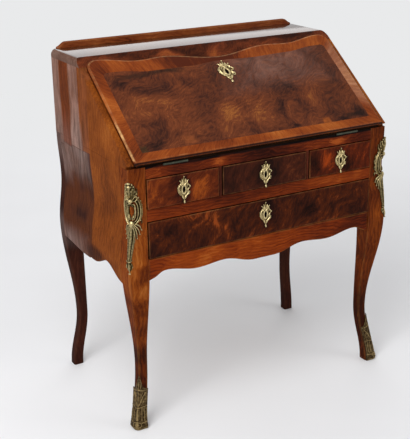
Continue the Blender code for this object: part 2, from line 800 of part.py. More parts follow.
def make_fall(axis):
    """The fall with its leather, lock and keyhole plate. Returns the board and the mortise of its bolt."""
    board = prism("fall_board", lip_outline(), LIP_BACK, FALL_THICKNESS, level_plane, "walnut_burr", axis)
    body = block(
        "fall_body",
        (-BODY_HALF, FALL_FOOT_GAP, 0),
        (BODY_HALF, BODY_LENGTH, (LIP_BACK + FALL_THICKNESS) / 2),
        parent=axis,
        helper=True,
    )
    combine(board, body, "UNION")

    lock_foot = BODY_LENGTH - FALL_LOCK_HEIGHT
    low = (-BODY_HALF + LEATHER_SIDE_MARGIN, LEATHER_FOOT_MARGIN)
    high = (BODY_HALF - LEATHER_SIDE_MARGIN, lock_foot - LEATHER_LOCK_MARGIN)
    block("fall_leather", (*low, 0), (*high, LEATHER_THICKNESS), "leather", axis)
    recess = block(
        "leather_recess",
        (low[0] - SEAT, low[1] - SEAT, -CUT),
        (high[0] + SEAT, high[1] + SEAT, LEATHER_THICKNESS + SEAT),
        parent=axis,
        helper=True,
    )
    combine(board, recess, "DIFFERENCE")

    half = LOCK_WIDTH / 2 + SEAT
    recess = block(
        "fall_lock_recess",
        (-half, lock_foot - SEAT, -CUT),
        (half, BODY_LENGTH + CUT / 10, LOCK_DEPTH + SEAT),
        parent=axis,
        helper=True,
    )
    combine(board, recess, "DIFFERENCE")

    def lock_place(across, up, deep):
        return (across, BODY_LENGTH + up, deep)

    make_lock("fall", axis, FALL_LOCK_HEIGHT, lock_place)

    middle = lock_foot + FALL_KEYHOLE_RISE
    plate = prism(
        "fall_escutcheon",
        plate_outline(FALL_PLATE_HALF_WIDTH, FALL_PLATE_HALF_HEIGHT),
        0,
        PLATE_THICKNESS,
        lambda u, v, t: (u, middle + v, FALL_THICKNESS + SEAT + t),
        "gilt_bronze",
        axis,
    )
    keyhole = prism(
        "fall_keyhole",
        keyhole_outline(),
        LOCK_DEPTH - CUT / 10,
        FALL_THICKNESS + CUT,
        lambda u, v, t: (u, middle + v, t),
        parent=axis,
        helper=True,
    )
    combine(plate, keyhole, "DIFFERENCE")
    combine(board, keyhole, "DIFFERENCE")
    return board, make_mortise("fall", axis, DRAWER_PLAY, lock_place)


def make_hinge(word, side, axis, board):
    """A butt hinge let into the top rail and the fall. Returns the cutters for the rail."""
    centre = side * (HALF - HINGE_INSET)
    half = HINGE_LENGTH / 2
    third = HINGE_LENGTH / 6
    root = KNUCKLE_RADIUS + HINGE_PLAY
    case_axis = add_axis(f"hinge_{word}_axis", (0, FRONT, BED_HEIGHT))

    case_leaf = block(
        f"hinge_{word}_case_leaf",
        (centre - half, root, -LEAF_THICKNESS),
        (centre + half, LEAF_WIDTH, -SEAT),
        "brass",
        case_axis,
    )
    for name, start, end in (("near", -half, -third - HINGE_PLAY), ("far", third + HINGE_PLAY, half)):
        low = (centre + start, 0, -LEAF_THICKNESS)
        high = (centre + end, root + HINGE_PLAY, -SEAT)
        neck = block(f"hinge_{word}_{name}_neck", low, high, parent=case_axis, helper=True)
        combine(case_leaf, neck, "UNION")
        name = f"hinge_{word}_{name}_knuckle"
        knuckle = rod(name, KNUCKLE_RADIUS, low[0], high[0], (0, 0), None, case_axis, True)
        combine(case_leaf, knuckle, "UNION")
    reach = (half + third) / 2
    pin = rod(f"hinge_{word}_pin", PIN_RADIUS, centre - reach, centre + reach, (0, 0), None, case_axis, True)
    combine(case_leaf, pin, "UNION")

    fall_leaf = block(
        f"hinge_{word}_fall_leaf",
        (centre - half, root, 0),
        (centre + half, LEAF_WIDTH, LEAF_THICKNESS),
        "brass",
        axis,
    )
    low = (centre - third, 0, 0)
    high = (centre + third, root + HINGE_PLAY, LEAF_THICKNESS)
    neck = block(f"hinge_{word}_fall_neck", low, high, parent=axis, helper=True)
    combine(fall_leaf, neck, "UNION")
    name = f"hinge_{word}_fall_knuckle"
    combine(fall_leaf, rod(name, KNUCKLE_RADIUS, low[0], high[0], (0, 0), None, axis, True), "UNION")
    name = f"hinge_{word}_bore"
    bore = rod(name, PIN_RADIUS + HINGE_PLAY / 2, centre - half, centre + half, (0, 0), None, axis, True)
    combine(fall_leaf, bore, "DIFFERENCE")

    wide = half + HINGE_PLAY
    cutters = []
    for name, parent, depth in (("fall", axis, 1), ("rail", case_axis, -1)):
        ends = sorted((-depth * CUT / 10, depth * (LEAF_THICKNESS + SEAT)))
        seat = block(
            f"hinge_{word}_{name}_seat",
            (centre - wide, -CUT, ends[0]),
            (centre + wide, LEAF_WIDTH + SEAT, ends[1]),
            parent=parent,
            helper=True,
        )
        cove = rod(f"hinge_{word}_{name}_cove", root, centre - wide, centre + wide, (0, 0), None, parent, True)
        cutters += [seat, cove]
    for cutter in cutters[:2]:
        combine(board, cutter, "DIFFERENCE")
    return cutters[2:]


def make_nest():
    """Pigeonholes at the back of the desk: a shelf halved over two uprights, with a small drawer each side."""
    back = BACK_INNER - SEAT
    middle = (NEST_FRONT + back) / 2
    ceiling = TOP_UNDERSIDE - SEAT
    shelf_top = SHELF_UNDERSIDE + NEST_BOARD
    bay = NEST_BAY / 2
    reach = CHEEK_INNER - SEAT
    slot = [(bay - SEAT, middle), (bay + NEST_BOARD + SEAT, middle)]
    right = [(slot[0][0], NEST_FRONT), slot[0], slot[1], (slot[1][0], NEST_FRONT)]
    right += [(reach, NEST_FRONT), (reach, back)]
    left = [(-x, y) for x, y in reversed(right)]
    prism("nest_shelf", right + left, SHELF_UNDERSIDE, shelf_top, level_plane, "fruitwood")

    turn = min(ceiling, BED_HEIGHT + (NEST_FRONT - FRONT) * SLOPE_TAN - NEST_CLEARANCE / SLOPE_COS)
    crown = max(NEST_FRONT, slope_front(ceiling, -NEST_CLEARANCE))
    outline = without_doubles(
        [
            (NEST_FRONT, BED_HEIGHT),
            (NEST_FRONT, turn),
            (crown, ceiling),
            (back, ceiling),
            (back, shelf_top + SEAT),
            (middle - SEAT, shelf_top + SEAT),
            (middle - SEAT, SHELF_UNDERSIDE - SEAT),
            (back, SHELF_UNDERSIDE - SEAT),
            (back, BED_HEIGHT),
        ]
    )
    inner_half = (reach - bay - NEST_BOARD) / 2
    for word, side in (("left", -1), ("right", 1)):
        ends = sorted((side * bay, side * (bay + NEST_BOARD)))
        prism(f"nest_upright_{word}", outline, *ends, upright_plane, "fruitwood")
        make_inner_drawer(word, side * (bay + NEST_BOARD + inner_half), inner_half - INNER_PLAY, back)


def make_inner_drawer(word, centre, half, back):
    axis = add_axis(f"inner_drawer_{word}_slide", (centre, NEST_FRONT, BED_HEIGHT))
    depth = back - NEST_FRONT - INNER_PLAY
    low = INNER_PLAY / 2
    high = INNER_DRAWER_HEIGHT
    drawer = block(f"inner_drawer_{word}", (-half, 0, low), (half, depth, high), "fruitwood", axis)
    hollow = block(
        f"inner_hollow_{word}",
        (-half + INNER_DRAWER_WALL, INNER_DRAWER_FRONT, low + INNER_DRAWER_WALL),
        (half - INNER_DRAWER_WALL, depth - INNER_DRAWER_WALL, high + CUT),
        parent=axis,
        helper=True,
    )
    combine(drawer, hollow, "DIFFERENCE")
    turned = ((0.0, 0.70), (0.15, 0.62), (0.35, 0.42), (0.60, 0.92), (0.78, 1.0), (0.93, 0.72), (1.0, 0.30))
    rings = []
    for share, girth in turned:
        out = -SEAT - KNOB_LENGTH * share
        turns = [2 * math.pi * k / ROUND_SIDES for k in range(ROUND_SIDES)]
        radius = KNOB_RADIUS * girth
        height = (low + high) / 2
        rings.append([(radius * math.cos(a), out, height + radius * math.sin(a)) for a in turns])
    loft(f"inner_knob_{word}", rings, "brass", axis)


def main():
    for obj in list(bpy.data.objects):
        bpy.data.objects.remove(obj, do_unlink=True)

    for word, side in (("left", -1), ("right", 1)):
        make_leg(f"front_leg_{word}", side, -1)
        make_leg(f"back_leg_{word}", side, 1)
        make_sabot(f"sabot_{word}", side)
        make_chute(f"chute_{word}", side)
        make_side_panel(f"side_panel_{word}", side)
        make_cheek(f"cheek_{word}", side)
    make_back()
    make_bed()
    make_apron()
    make_bearers()

    side_width = OPEN_HALF - CENTRE_DRAWER_WIDTH / 2 - DIVIDER_THICKNESS
    side_centre = OPEN_HALF - side_width / 2
    mortises = [
        make_drawer("upper_left_drawer", -side_centre, side_width, UPPER_FLOOR, UPPER_DRAWER_HEIGHT, 0),
        make_drawer("upper_centre_drawer", 0, CENTRE_DRAWER_WIDTH, UPPER_FLOOR, UPPER_DRAWER_HEIGHT, 0),
        make_drawer("upper_right_drawer", side_centre, side_width, UPPER_FLOOR, UPPER_DRAWER_HEIGHT, 0),
    ]
    lower = make_drawer(
        "lower_drawer", 0, 2 * OPEN_HALF, LOWER_FLOOR, LOWER_DRAWER_HEIGHT, LOWER_KEYHOLE_RISE
    )

    hinge_line = add_axis("fall_hinge_line", (0, FRONT, BED_HEIGHT), SLOPE_ANGLE)
    board, fall_mortise = make_fall(hinge_line)
    hinge_cuts = make_hinge("left", -1, hinge_line, board) + make_hinge("right", 1, hinge_line, board)
    make_rails(mortises, lower, hinge_cuts)
    make_head_panel(fall_mortise)
    make_top()
    make_gallery()
    make_nest()


main()
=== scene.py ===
"""Looks of a slant-front desk: polished walnut veneers, cast gilt-bronze mounts, brass, oak and leather.

Metres, +Z up, the front towards -Y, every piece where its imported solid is. The sections follow the desk as
its maker puts it together: legs and panels, rails, upper case, drawers, fall, nest, mounts, then the stage.
"""

import json
import math

import bmesh
import bpy
from mathutils import Matrix, Vector

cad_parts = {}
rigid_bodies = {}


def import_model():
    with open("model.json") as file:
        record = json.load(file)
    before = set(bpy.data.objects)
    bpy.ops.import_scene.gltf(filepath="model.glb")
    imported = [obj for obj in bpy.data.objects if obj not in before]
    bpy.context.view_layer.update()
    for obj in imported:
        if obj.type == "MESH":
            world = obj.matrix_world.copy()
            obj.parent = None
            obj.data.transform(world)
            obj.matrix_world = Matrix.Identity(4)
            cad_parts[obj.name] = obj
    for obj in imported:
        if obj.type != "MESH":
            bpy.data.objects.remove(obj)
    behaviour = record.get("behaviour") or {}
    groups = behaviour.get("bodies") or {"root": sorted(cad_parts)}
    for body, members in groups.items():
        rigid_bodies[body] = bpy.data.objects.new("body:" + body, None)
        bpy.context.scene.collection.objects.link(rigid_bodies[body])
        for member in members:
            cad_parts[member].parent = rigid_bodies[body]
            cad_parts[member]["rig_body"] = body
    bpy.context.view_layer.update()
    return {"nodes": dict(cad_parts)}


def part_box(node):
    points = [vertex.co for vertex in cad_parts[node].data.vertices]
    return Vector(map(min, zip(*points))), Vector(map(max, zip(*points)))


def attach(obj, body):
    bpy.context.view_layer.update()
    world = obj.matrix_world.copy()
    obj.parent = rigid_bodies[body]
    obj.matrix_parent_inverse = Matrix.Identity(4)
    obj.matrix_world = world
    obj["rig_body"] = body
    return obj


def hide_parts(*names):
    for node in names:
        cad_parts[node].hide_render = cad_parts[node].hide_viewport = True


for item in list(bpy.data.objects):
    bpy.data.objects.remove(item)
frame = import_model()
nodes = frame["nodes"]

# Legs
# Each leg is one piece of walnut from the floor to the writing level: a square post above the knee and a
# cabriole below it, sawn to a template, rasped round at its arrises and French polished.

LEG_STEP = 0.006
ARRIS_STEPS = 4
FOOT_ARRIS = 0.0045
POST_ARRIS = 0.0016
ANKLE_HEIGHT = 0.175
KNEE_HEIGHT = 0.463
RUB_REACH = 0.0015
LEG_WEAR = 0.14
SHARP = math.radians(32)
SAME_HEIGHT = 0.0001
UPRIGHT = (0, math.radians(-90), 0)
# A size that takes in the whole desk, for a patch or an inlay that one direction doesn't bound
ALL = 9
# The spacing of a wave texture's slanting bands at a scale of 1
WAVE_LENGTH = 0.628
# What most of a noise texture's values lie between
NOISE_SPAN = {"From Min": 0.3, "From Max": 0.7}
SWIRL_SIZE = 0.11
STREAK = 0.0030
BROAD_STREAK = 0.011
# Real pores are 0.2 mm wide and 5 mm long; they are drawn four times as coarse so that they show
PORE = 0.0008
PORE_DEPTH = 0.0004
RUB_SIZE = 0.022
CURL_SIZE = 0.020
GRIME_AND_SHADE = "#100a07"
VARNISH_ROUGH = 0.12
INLAY_LEAN = 0.25
SHEEN_SWING = 0.06


def linear(code):
    """An sRGB hex colour as the linear colour that a socket takes."""
    parts = [int(code[k : k + 2], 16) / 255 for k in (1, 3, 5)]
    return [c / 12.92 if c <= 0.04045 else ((c + 0.055) / 1.055) ** 2.4 for c in parts] + [1]


def add(tree, kind, inputs=None, output=0, **settings):
    """Adds a node with its settings; inputs are values or other nodes' sockets. Gives the output named."""
    node = tree.nodes.new(kind)
    for name, value in settings.items():
        setattr(node, name, value)
    for key, value in (inputs or {}).items():
        if isinstance(value, bpy.types.NodeSocket):
            tree.links.new(value, node.inputs[key])
        else:
            node.inputs[key].default_value = value
    return node.outputs[output]


def new_finish(name, constants):
    """A material, its tree and its shader, with the values that are the same all over set on the shader."""
    material = bpy.data.materials.new(name)
    material.use_nodes = True
    tree = material.node_tree
    shader = tree.nodes["Principled BSDF"]
    for key, value in constants.items():
        shader.inputs[key].default_value = value
    return material, tree, shader


def in_oval(tree, point, place, size, edge):
    """1 inside an oval round a place, falling to 0 at its rim from the share edge of its size on."""
    away = add(tree, "ShaderNodeVectorMath", {0: point, 1: place}, operation="SUBTRACT")
    away = add(tree, "ShaderNodeVectorMath", {0: away, 1: size}, operation="DIVIDE")
    far = add(tree, "ShaderNodeVectorMath", {0: away}, "Value", operation="LENGTH")
    rim = {"Value": far, "From Min": edge, "From Max": 1.0, "To Min": 1.0, "To Max": 0.0}
    return add(tree, "ShaderNodeMapRange", rim, interpolation_type="SMOOTHSTEP")


def in_box(tree, point, place, size, blur):
    """1 inside a box round a place, falling to 0 at its rim over the lengths in blur."""
    away = add(tree, "ShaderNodeVectorMath", {0: point, 1: place}, operation="SUBTRACT")
    away = add(tree, "ShaderNodeVectorMath", {0: away}, operation="ABSOLUTE")
    away = add(tree, "ShaderNodeVectorMath", {0: away, 1: size}, operation="SUBTRACT")
    away = add(tree, "ShaderNodeVectorMath", {0: away, 1: blur}, operation="DIVIDE")
    x, y, z = add(tree, "ShaderNodeSeparateXYZ", {0: away}).node.outputs
    far = add(tree, "ShaderNodeMath", {0: x, 1: y}, operation="MAXIMUM")
    far = add(tree, "ShaderNodeMath", {0: far, 1: z}, operation="MAXIMUM")
    rim = {"Value": far, "From Min": -1.0, "From Max": 0.0, "To Min": 1.0, "To Max": 0.0}
    return add(tree, "ShaderNodeMapRange", rim, interpolation_type="SMOOTHSTEP")


def veneer(
    name,
    tones,
    grain=(0, 0, 0),
    origin=(0, 0, 0),
    turn=(0, 0, 0),
    ring=0.014,
    stretch=12,
    swirl=0.05,
    weights=(0.10, 0.32, 0.32),
    streak=STREAK,
    curl=0.0,
    patches=(),
    inlays=(),
    rub="#8f6038",
    polish=0.08,
    varnish_ior=1.5,
    rough=0.36,
    uv=None,
):
    """Polished wood. Tones run from its darkest to its palest, ring is the spacing of the growth rings,
    stretch how far they are drawn out along the grain and swirl how far they wander; curl adds the small
    eyes of a burr. Patches (place, size, shift, edge) are lighter or darker figure, inlays (place, size,
    colour, blur, cover) boxes of another wood, both in the piece's own frame, which origin and turn set.
    Rubbed arrises follow the mesh's worn attribute; below 0 it gives near-black, grime together with painted
    shade in gaps and under the fall's lip. Polish is how much varnish lies over the wood, whose own surface
    has no gloss."""
    varnish = {"Coat Weight": polish, "Coat Roughness": VARNISH_ROUGH, "Coat IOR": varnish_ior}
    material, tree, shader = new_finish(name, {**varnish, "Specular IOR Level": 0.0})
    if uv:
        place = add(tree, "ShaderNodeUVMap", uv_map=uv)
    else:
        place = add(tree, "ShaderNodeTexCoord", output="Object")
    lay = {"Vector": place, "Location": origin, "Rotation": turn}
    local = add(tree, "ShaderNodeMapping", lay, vector_type="TEXTURE")
    swirls = {"Scale": 1 / SWIRL_SIZE, "Detail": 2.0}
    drift = add(tree, "ShaderNodeTexNoise", {"Vector": local, **swirls}, "Color")
    drift = add(tree, "ShaderNodeVectorMath", {0: drift, 1: (0.5, 0.5, 0.5)}, operation="SUBTRACT")
    drift = add(tree, "ShaderNodeVectorMath", {0: drift, "Scale": swirl}, operation="SCALE")
    bent = add(tree, "ShaderNodeVectorMath", {0: local, 1: drift}, operation="ADD")
    leaning = add(tree, "ShaderNodeVectorMath", {0: drift, "Scale": INLAY_LEAN}, operation="SCALE")
    leaning = add(tree, "ShaderNodeVectorMath", {0: local, 1: leaning}, operation="ADD")
    lay = {"Vector": bent, "Rotation": grain, "Scale": (stretch, 1, 1)}
    along = add(tree, "ShaderNodeMapping", lay, vector_type="TEXTURE")

    bands = {"Vector": along, "Scale": WAVE_LENGTH / ring, "Distortion": 2.0}
    bands.update({"Detail": 2.0, "Detail Scale": 1.3})
    rings = add(tree, "ShaderNodeTexWave", bands, "Fac", bands_direction="DIAGONAL")
    fine = {"Vector": along, "Scale": 1 / streak, "Detail": 5.0, "Roughness": 0.65}
    streaks = add(tree, "ShaderNodeTexNoise", fine)
    mottle = add(tree, "ShaderNodeTexNoise", {"Vector": bent, **swirls})
    tone = 0.5 - sum(weights) / 2
    for layer, weight in zip((rings, streaks, mottle), weights):
        if layer != rings:
            layer = add(tree, "ShaderNodeMapRange", {"Value": layer, **NOISE_SPAN})
        tone = add(tree, "ShaderNodeMath", {0: layer, 1: weight, 2: tone}, operation="MULTIPLY_ADD")
    if curl:
        eyes = {"Vector": bent, "Scale": 1 / CURL_SIZE, "Detail": 4.0, "Distortion": 1.6}
        eyes = add(tree, "ShaderNodeTexNoise", eyes)
        eyes = {"Value": eyes, **NOISE_SPAN, "To Min": -curl / 2, "To Max": curl / 2}
        eyes = add(tree, "ShaderNodeMapRange", eyes)
        tone = add(tree, "ShaderNodeMath", {0: tone, 1: eyes}, operation="ADD")
    for spot, size, shift, edge in patches:
        near = in_oval(tree, bent, spot, size, edge)
        tone = add(tree, "ShaderNodeMath", {0: near, 1: shift, 2: tone}, operation="MULTIPLY_ADD")
    colour = add(tree, "ShaderNodeValToRGB", {"Fac": tone})
    stops = colour.node.color_ramp.elements
    for k, code in enumerate(tones):
        share = (k + 0.5) / len(tones)
        stop = stops[k] if k < 2 else stops.new(share)
        stop.position = share
        stop.color = linear(code)
    broad = add(tree, "ShaderNodeTexNoise", {"Vector": along, "Scale": 1 / BROAD_STREAK, "Detail": 3.0})
    veil = {"Value": mottle, "From Min": 0.35, "From Max": 0.6, "To Min": 0.55}
    veil = add(tree, "ShaderNodeMapRange", veil)
    shade = {"Value": broad, **NOISE_SPAN, "To Min": 0.55, "To Max": 1.4}
    shade = add(tree, "ShaderNodeMapRange", shade)
    for spot, size, code, blur, cover in inlays:
        near = in_box(tree, leaning, spot, size, blur)
        near = add(tree, "ShaderNodeMath", {0: near, 1: veil}, operation="MULTIPLY")
        near = add(tree, "ShaderNodeMath", {0: near, 1: cover}, operation="MULTIPLY")
        tint = add(tree, "ShaderNodeVectorMath", {0: linear(code)[:3], "Scale": shade}, operation="SCALE")
        colour = add(tree, "ShaderNodeMix", {0: near, 6: colour, 7: tint}, 2, data_type="RGBA")

    flecks = add(tree, "ShaderNodeTexNoise", {"Vector": along, "Scale": 1 / PORE, "Detail": 1.0})
    deep = {"Value": flecks, "From Min": 0.56, "From Max": 0.72, "To Min": 0.0, "To Max": 0.4}
    pores = add(tree, "ShaderNodeMapRange", deep)
    colour = add(tree, "ShaderNodeMix", {0: pores, 6: colour, 7: linear(tones[0])}, 2, data_type="RGBA")

    worn = add(tree, "ShaderNodeAttribute", output="Fac", attribute_name="worn")
    ragged = add(tree, "ShaderNodeTexNoise", {"Vector": local, "Scale": 1 / RUB_SIZE, "Detail": 4.0})
    ragged = {"Value": ragged, "From Min": 0.40, "From Max": 0.65, "To Min": 0.25}
    ragged = add(tree, "ShaderNodeMapRange", ragged)
    rubbed = add(tree, "ShaderNodeMath", {0: worn, 1: ragged}, operation="MULTIPLY", use_clamp=True)
    colour = add(tree, "ShaderNodeMix", {0: rubbed, 6: colour, 7: linear(rub)}, 2, data_type="RGBA")
    # Below 0 the worn mark gives near-black: grime, and painted shade in gaps and under the fall's lip
    dirt_and_shade = add(tree, "ShaderNodeMath", {0: worn, 1: -0.9}, operation="MULTIPLY", use_clamp=True)
    colour = add(tree, "ShaderNodeMix", {0: dirt_and_shade, 6: colour, 7: linear(GRIME_AND_SHADE)}, 2, data_type="RGBA")
    tree.links.new(colour, shader.inputs["Base Color"])

    sheen = {"Value": streaks, **NOISE_SPAN, "To Min": rough + SHEEN_SWING, "To Max": rough - SHEEN_SWING}
    tree.links.new(add(tree, "ShaderNodeMapRange", sheen), shader.inputs["Roughness"])
    height = add(tree, "ShaderNodeMath", {0: pores, 1: -2.0, 2: rings}, operation="MULTIPLY_ADD")
    bump = {"Height": height, "Strength": 0.12, "Distance": PORE_DEPTH}
    tree.links.new(add(tree, "ShaderNodeBump", bump), shader.inputs["Normal"])
    return material


def show(name, data):
    """Puts a mesh, a lamp or a lens into the scene as an object."""
    thing = bpy.data.objects.new(name, data)
    bpy.context.scene.collection.objects.link(thing)
    return thing


def new_piece(name, points, faces, material, marks=None):
    """A mesh piece facing outwards, smooth but for its arrises. Marks are its named point attributes."""
    mesh = bpy.data.meshes.new(name)
    mesh.from_pydata(points, [], faces)
    shape = bmesh.new()
    shape.from_mesh(mesh)
    bmesh.ops.recalc_face_normals(shape, faces=shape.faces)
    shape.to_mesh(mesh)
    shape.free()
    for mark, values in (marks or {}).items():
        mesh.attributes.new(mark, "FLOAT", "POINT").data.foreach_set("value", values)
    mesh.materials.append(material)
    mesh.shade_smooth()
    mesh.set_sharp_from_angle(angle=SHARP)
    return show(name, mesh)


def wall(first, rows, count, closed=False):
    """Faces between rows of count points each, from the point first on; closed joins last and first row."""
    faces = []
    for row in range(rows if closed else rows - 1):
        near = first + row * count
        far = first + (row + 1) % rows * count
        for k in range(count):
            after = (k + 1) % count
            faces.append((near + k, near + after, far + after, far + k))
    return faces


def skin(name, rings, material, worn):
    """A closed piece over rings of equally many points; worn gives each ring's rubbed points, and below 0 its
    grime and painted shade.
    """
    count = len(rings[0])
    points = [point for ring in rings for point in ring]
    caps = [tuple(range(count)), tuple(range(len(points) - count, len(points)))]
    faces = caps + wall(0, len(rings), count)
    return new_piece(name, points, faces, material, {"worn": [mark for row in worn for mark in row]})


def stand_for(piece, slot, *replaced):
    """Puts a piece in place of its solids: it rides on their body. The slot is not used."""
    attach(piece, nodes[replaced[0]]["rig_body"])
    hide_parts(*replaced)


def flow(stations, place):
    """The value at a place on a smooth curve through (place, value) stations."""
    last = len(stations) - 2
    k = sum(1 for at, value in stations[1:-1] if at <= place)
    (start, first), (end, second) = stations[k], stations[k + 1]
    before = stations[max(k - 1, 0)]
    after = stations[min(k + 2, last + 1)]
    span = end - start
    share = (place - start) / span
    rise = (second - before[1]) / (end - before[0]) * span
    fall = (after[1] - first) / (after[0] - start) * span
    square = share * share
    cube = square * share
    return (
        (2 * cube - 3 * square + 1) * first
        + (cube - 2 * square + share) * rise
        + (3 * square - 2 * cube) * second
        + (cube - square) * fall
    )


def spread(start, end, count):
    """Evenly spaced values, both ends included."""
    return [start + (end - start) * k / (count - 1) for k in range(count)]


def faces_of(node):
    """Where a solid lofted upwards has its four faces: (height, place) stations for its low x, high x,
    low y and high y."""
    mesh = nodes[node].data
    edges = [[mesh.vertices[k].co for k in edge.vertices] for edge in mesh.edges]
    stations = ([], [], [], [])
    for z in sorted({round(vertex.co.z, 4) for vertex in mesh.vertices}):
        cut = [vertex.co for vertex in mesh.vertices if abs(vertex.co.z - z) < SAME_HEIGHT]
        for one, two in edges:
            if (one.z - z) * (two.z - z) < 0:
                cut.append(one.lerp(two, (z - one.z) / (two.z - one.z)))
        across = [co.x for co in cut]
        deep = [co.y for co in cut]
        for row, value in zip(stations, (min(across), max(across), min(deep), max(deep))):
            row.append((z, value))
    return stations


def square_section(low_x, high_x, low_y, high_y, radius):
    """A square section with round arrises, and how rubbed each point is: arrises are, faces are not."""
    ring = []
    worn = []
    corners = ((high_x, low_y, -90), (high_x, high_y, 0), (low_x, high_y, 90), (low_x, low_y, 180))
    for x, y, start in corners:
        middle = Vector((x - math.copysign(radius, x - (low_x + high_x) / 2), 0))
        middle.y = y - math.copysign(radius, y - (low_y + high_y) / 2)
        turns = [math.radians(start + 90 * k / ARRIS_STEPS) for k in range(ARRIS_STEPS + 1)]
        arc = [middle + radius * Vector((math.cos(a), math.sin(a))) for a in turns]
        entry = arc[0] - RUB_REACH * Vector((-math.sin(turns[0]), math.cos(turns[0])))
        leave = arc[-1] + RUB_REACH * Vector((-math.sin(turns[-1]), math.cos(turns[-1])))
        ring += [entry, *arc, leave]
        worn += [0.0] + [LEG_WEAR] * len(arc) + [0.0]
    return ring, worn


# Red-brown and upright in the grain, darker towards the floor, with a thin warm gloss
walnut = veneer(
    "French polished walnut",
    ("#2e1107", "#5c260b", "#823e11", "#a05c24"),
    grain=UPRIGHT,
    stretch=14,
    patches=(
        ((0, 0, 0), (ALL, ALL, 0.40), -0.30, 0.0),
        # The right front leg darker as a whole: painted shade
        ((0.38, -0.2, 0.40), (0.10, 0.3, 0.50), -0.14, 0.6),
        ((-0.37, -0.229, 0.45), (0.06, 0.014, 0.14), 0.42, 0.2),
        ((-0.37, -0.2, 0.365), (0.06, 0.1, 0.022), -0.14, 0.1),
        ((-0.37, -0.2, 0.305), (0.06, 0.1, 0.025), 0.18, 0.1),
        ((-0.37, -0.2, 0.210), (0.06, 0.1, 0.045), -0.24, 0.1),
    ),
    rub="#a8753f",
)
# Nearly black: the back legs' walnut painted in shade, with a grey painted sheen of reflected light high and
# low on it
shaded_walnut = veneer(
    "walnut in painted shade with painted sheen",
    ("#190b07", "#2c130c", "#3d1c12", "#58301f"),
    grain=UPRIGHT,
    stretch=14,
    inlays=(
        ((0, 0.2, 0.72), (ALL, ALL, 0.12), "#86706a", (ALL, ALL, 0.11), 0.5),
        ((0, 0.2, 0.44), (ALL, ALL, 0.075), "#86706a", (ALL, ALL, 0.06), 0.55),
    ),
    rub="#6d4a38",
)
for node in ("front_leg_left", "front_leg_right", "back_leg_left", "back_leg_right"):
    # The back legs take the walnut painted in shade
    finish = shaded_walnut if node.startswith("back") else walnut
    walls = faces_of(node)
    floor, crown = walls[0][0][0], walls[0][-1][0]
    rings = []
    worn = []
    for z in spread(floor, crown, round((crown - floor) / LEG_STEP)):
        share = min(max((z - ANKLE_HEIGHT) / (KNEE_HEIGHT - ANKLE_HEIGHT), 0), 1)
        radius = FOOT_ARRIS + (POST_ARRIS - FOOT_ARRIS) * share
        ring, rub = square_section(*[flow(stations, z) for stations in walls], radius)
        rings.append([(x, y, z) for x, y in ring])
        worn.append(rub)
    stand_for(skin(f"{node}_polished", rings, finish, worn), "walnut", node)

# Side panels
# A thick walnut board each side, bent in an S with the legs and veneered: golden at the front, a dark
# purple-brown sheet behind. The lower edge is shaped, with a carved cusp at its lowest place.

SIDE_THICKNESS = 0.016
SIDE_COLUMNS = 73
SIDE_ROWS = 44
SIDE_EDGE_ROUND = 0.003
SIDE_ROUND_STEPS = 3
CUSP_PLACE = 0.017
CUSP_HALF = 0.008
CUSP_RISE = 0.007
SHEET = ((0, 0.1225, 0.400), (ALL, 0.1275, 0.311))
LEFT = -0.398
STRIP_CROWN = 0.961
# Middle, half width, foot, colour, soft edge and cover of each strip, from the back forwards; the grey of the
# first and third is painted reflection on their veneer
STRIPS = (
    (0.213, 0.037, 0.699, "#84685e", 0.010, 0.95),
    (0.150, 0.030, 0.705, "#612a12", 0.007, 1.0),
    (0.088, 0.036, 0.711, "#8a6e64", 0.012, 0.90),
    (0.024, 0.030, 0.711, "#743e20", 0.014, 0.90),
)
STRIP_REACH = 0.3
STRIP_FADE = 0.1
STRIP_JOINT = 0.002
CRACK = 0.0016
CRACK_TONE = "#2c1a14"

strips = []
cracks = []
for y, half, foot, code, soft, cover in STRIPS:
    middle = (LEFT, y, (STRIP_CROWN + foot) / 2)
    size = (STRIP_REACH, half, (STRIP_CROWN - foot) / 2)
    strips.append((middle, size, code, (STRIP_FADE, soft, STRIP_JOINT), cover))
    line = (STRIP_REACH, half, CRACK)
    cracks.append(((LEFT, y, foot), line, CRACK_TONE, (STRIP_FADE, soft, CRACK), 0.8))

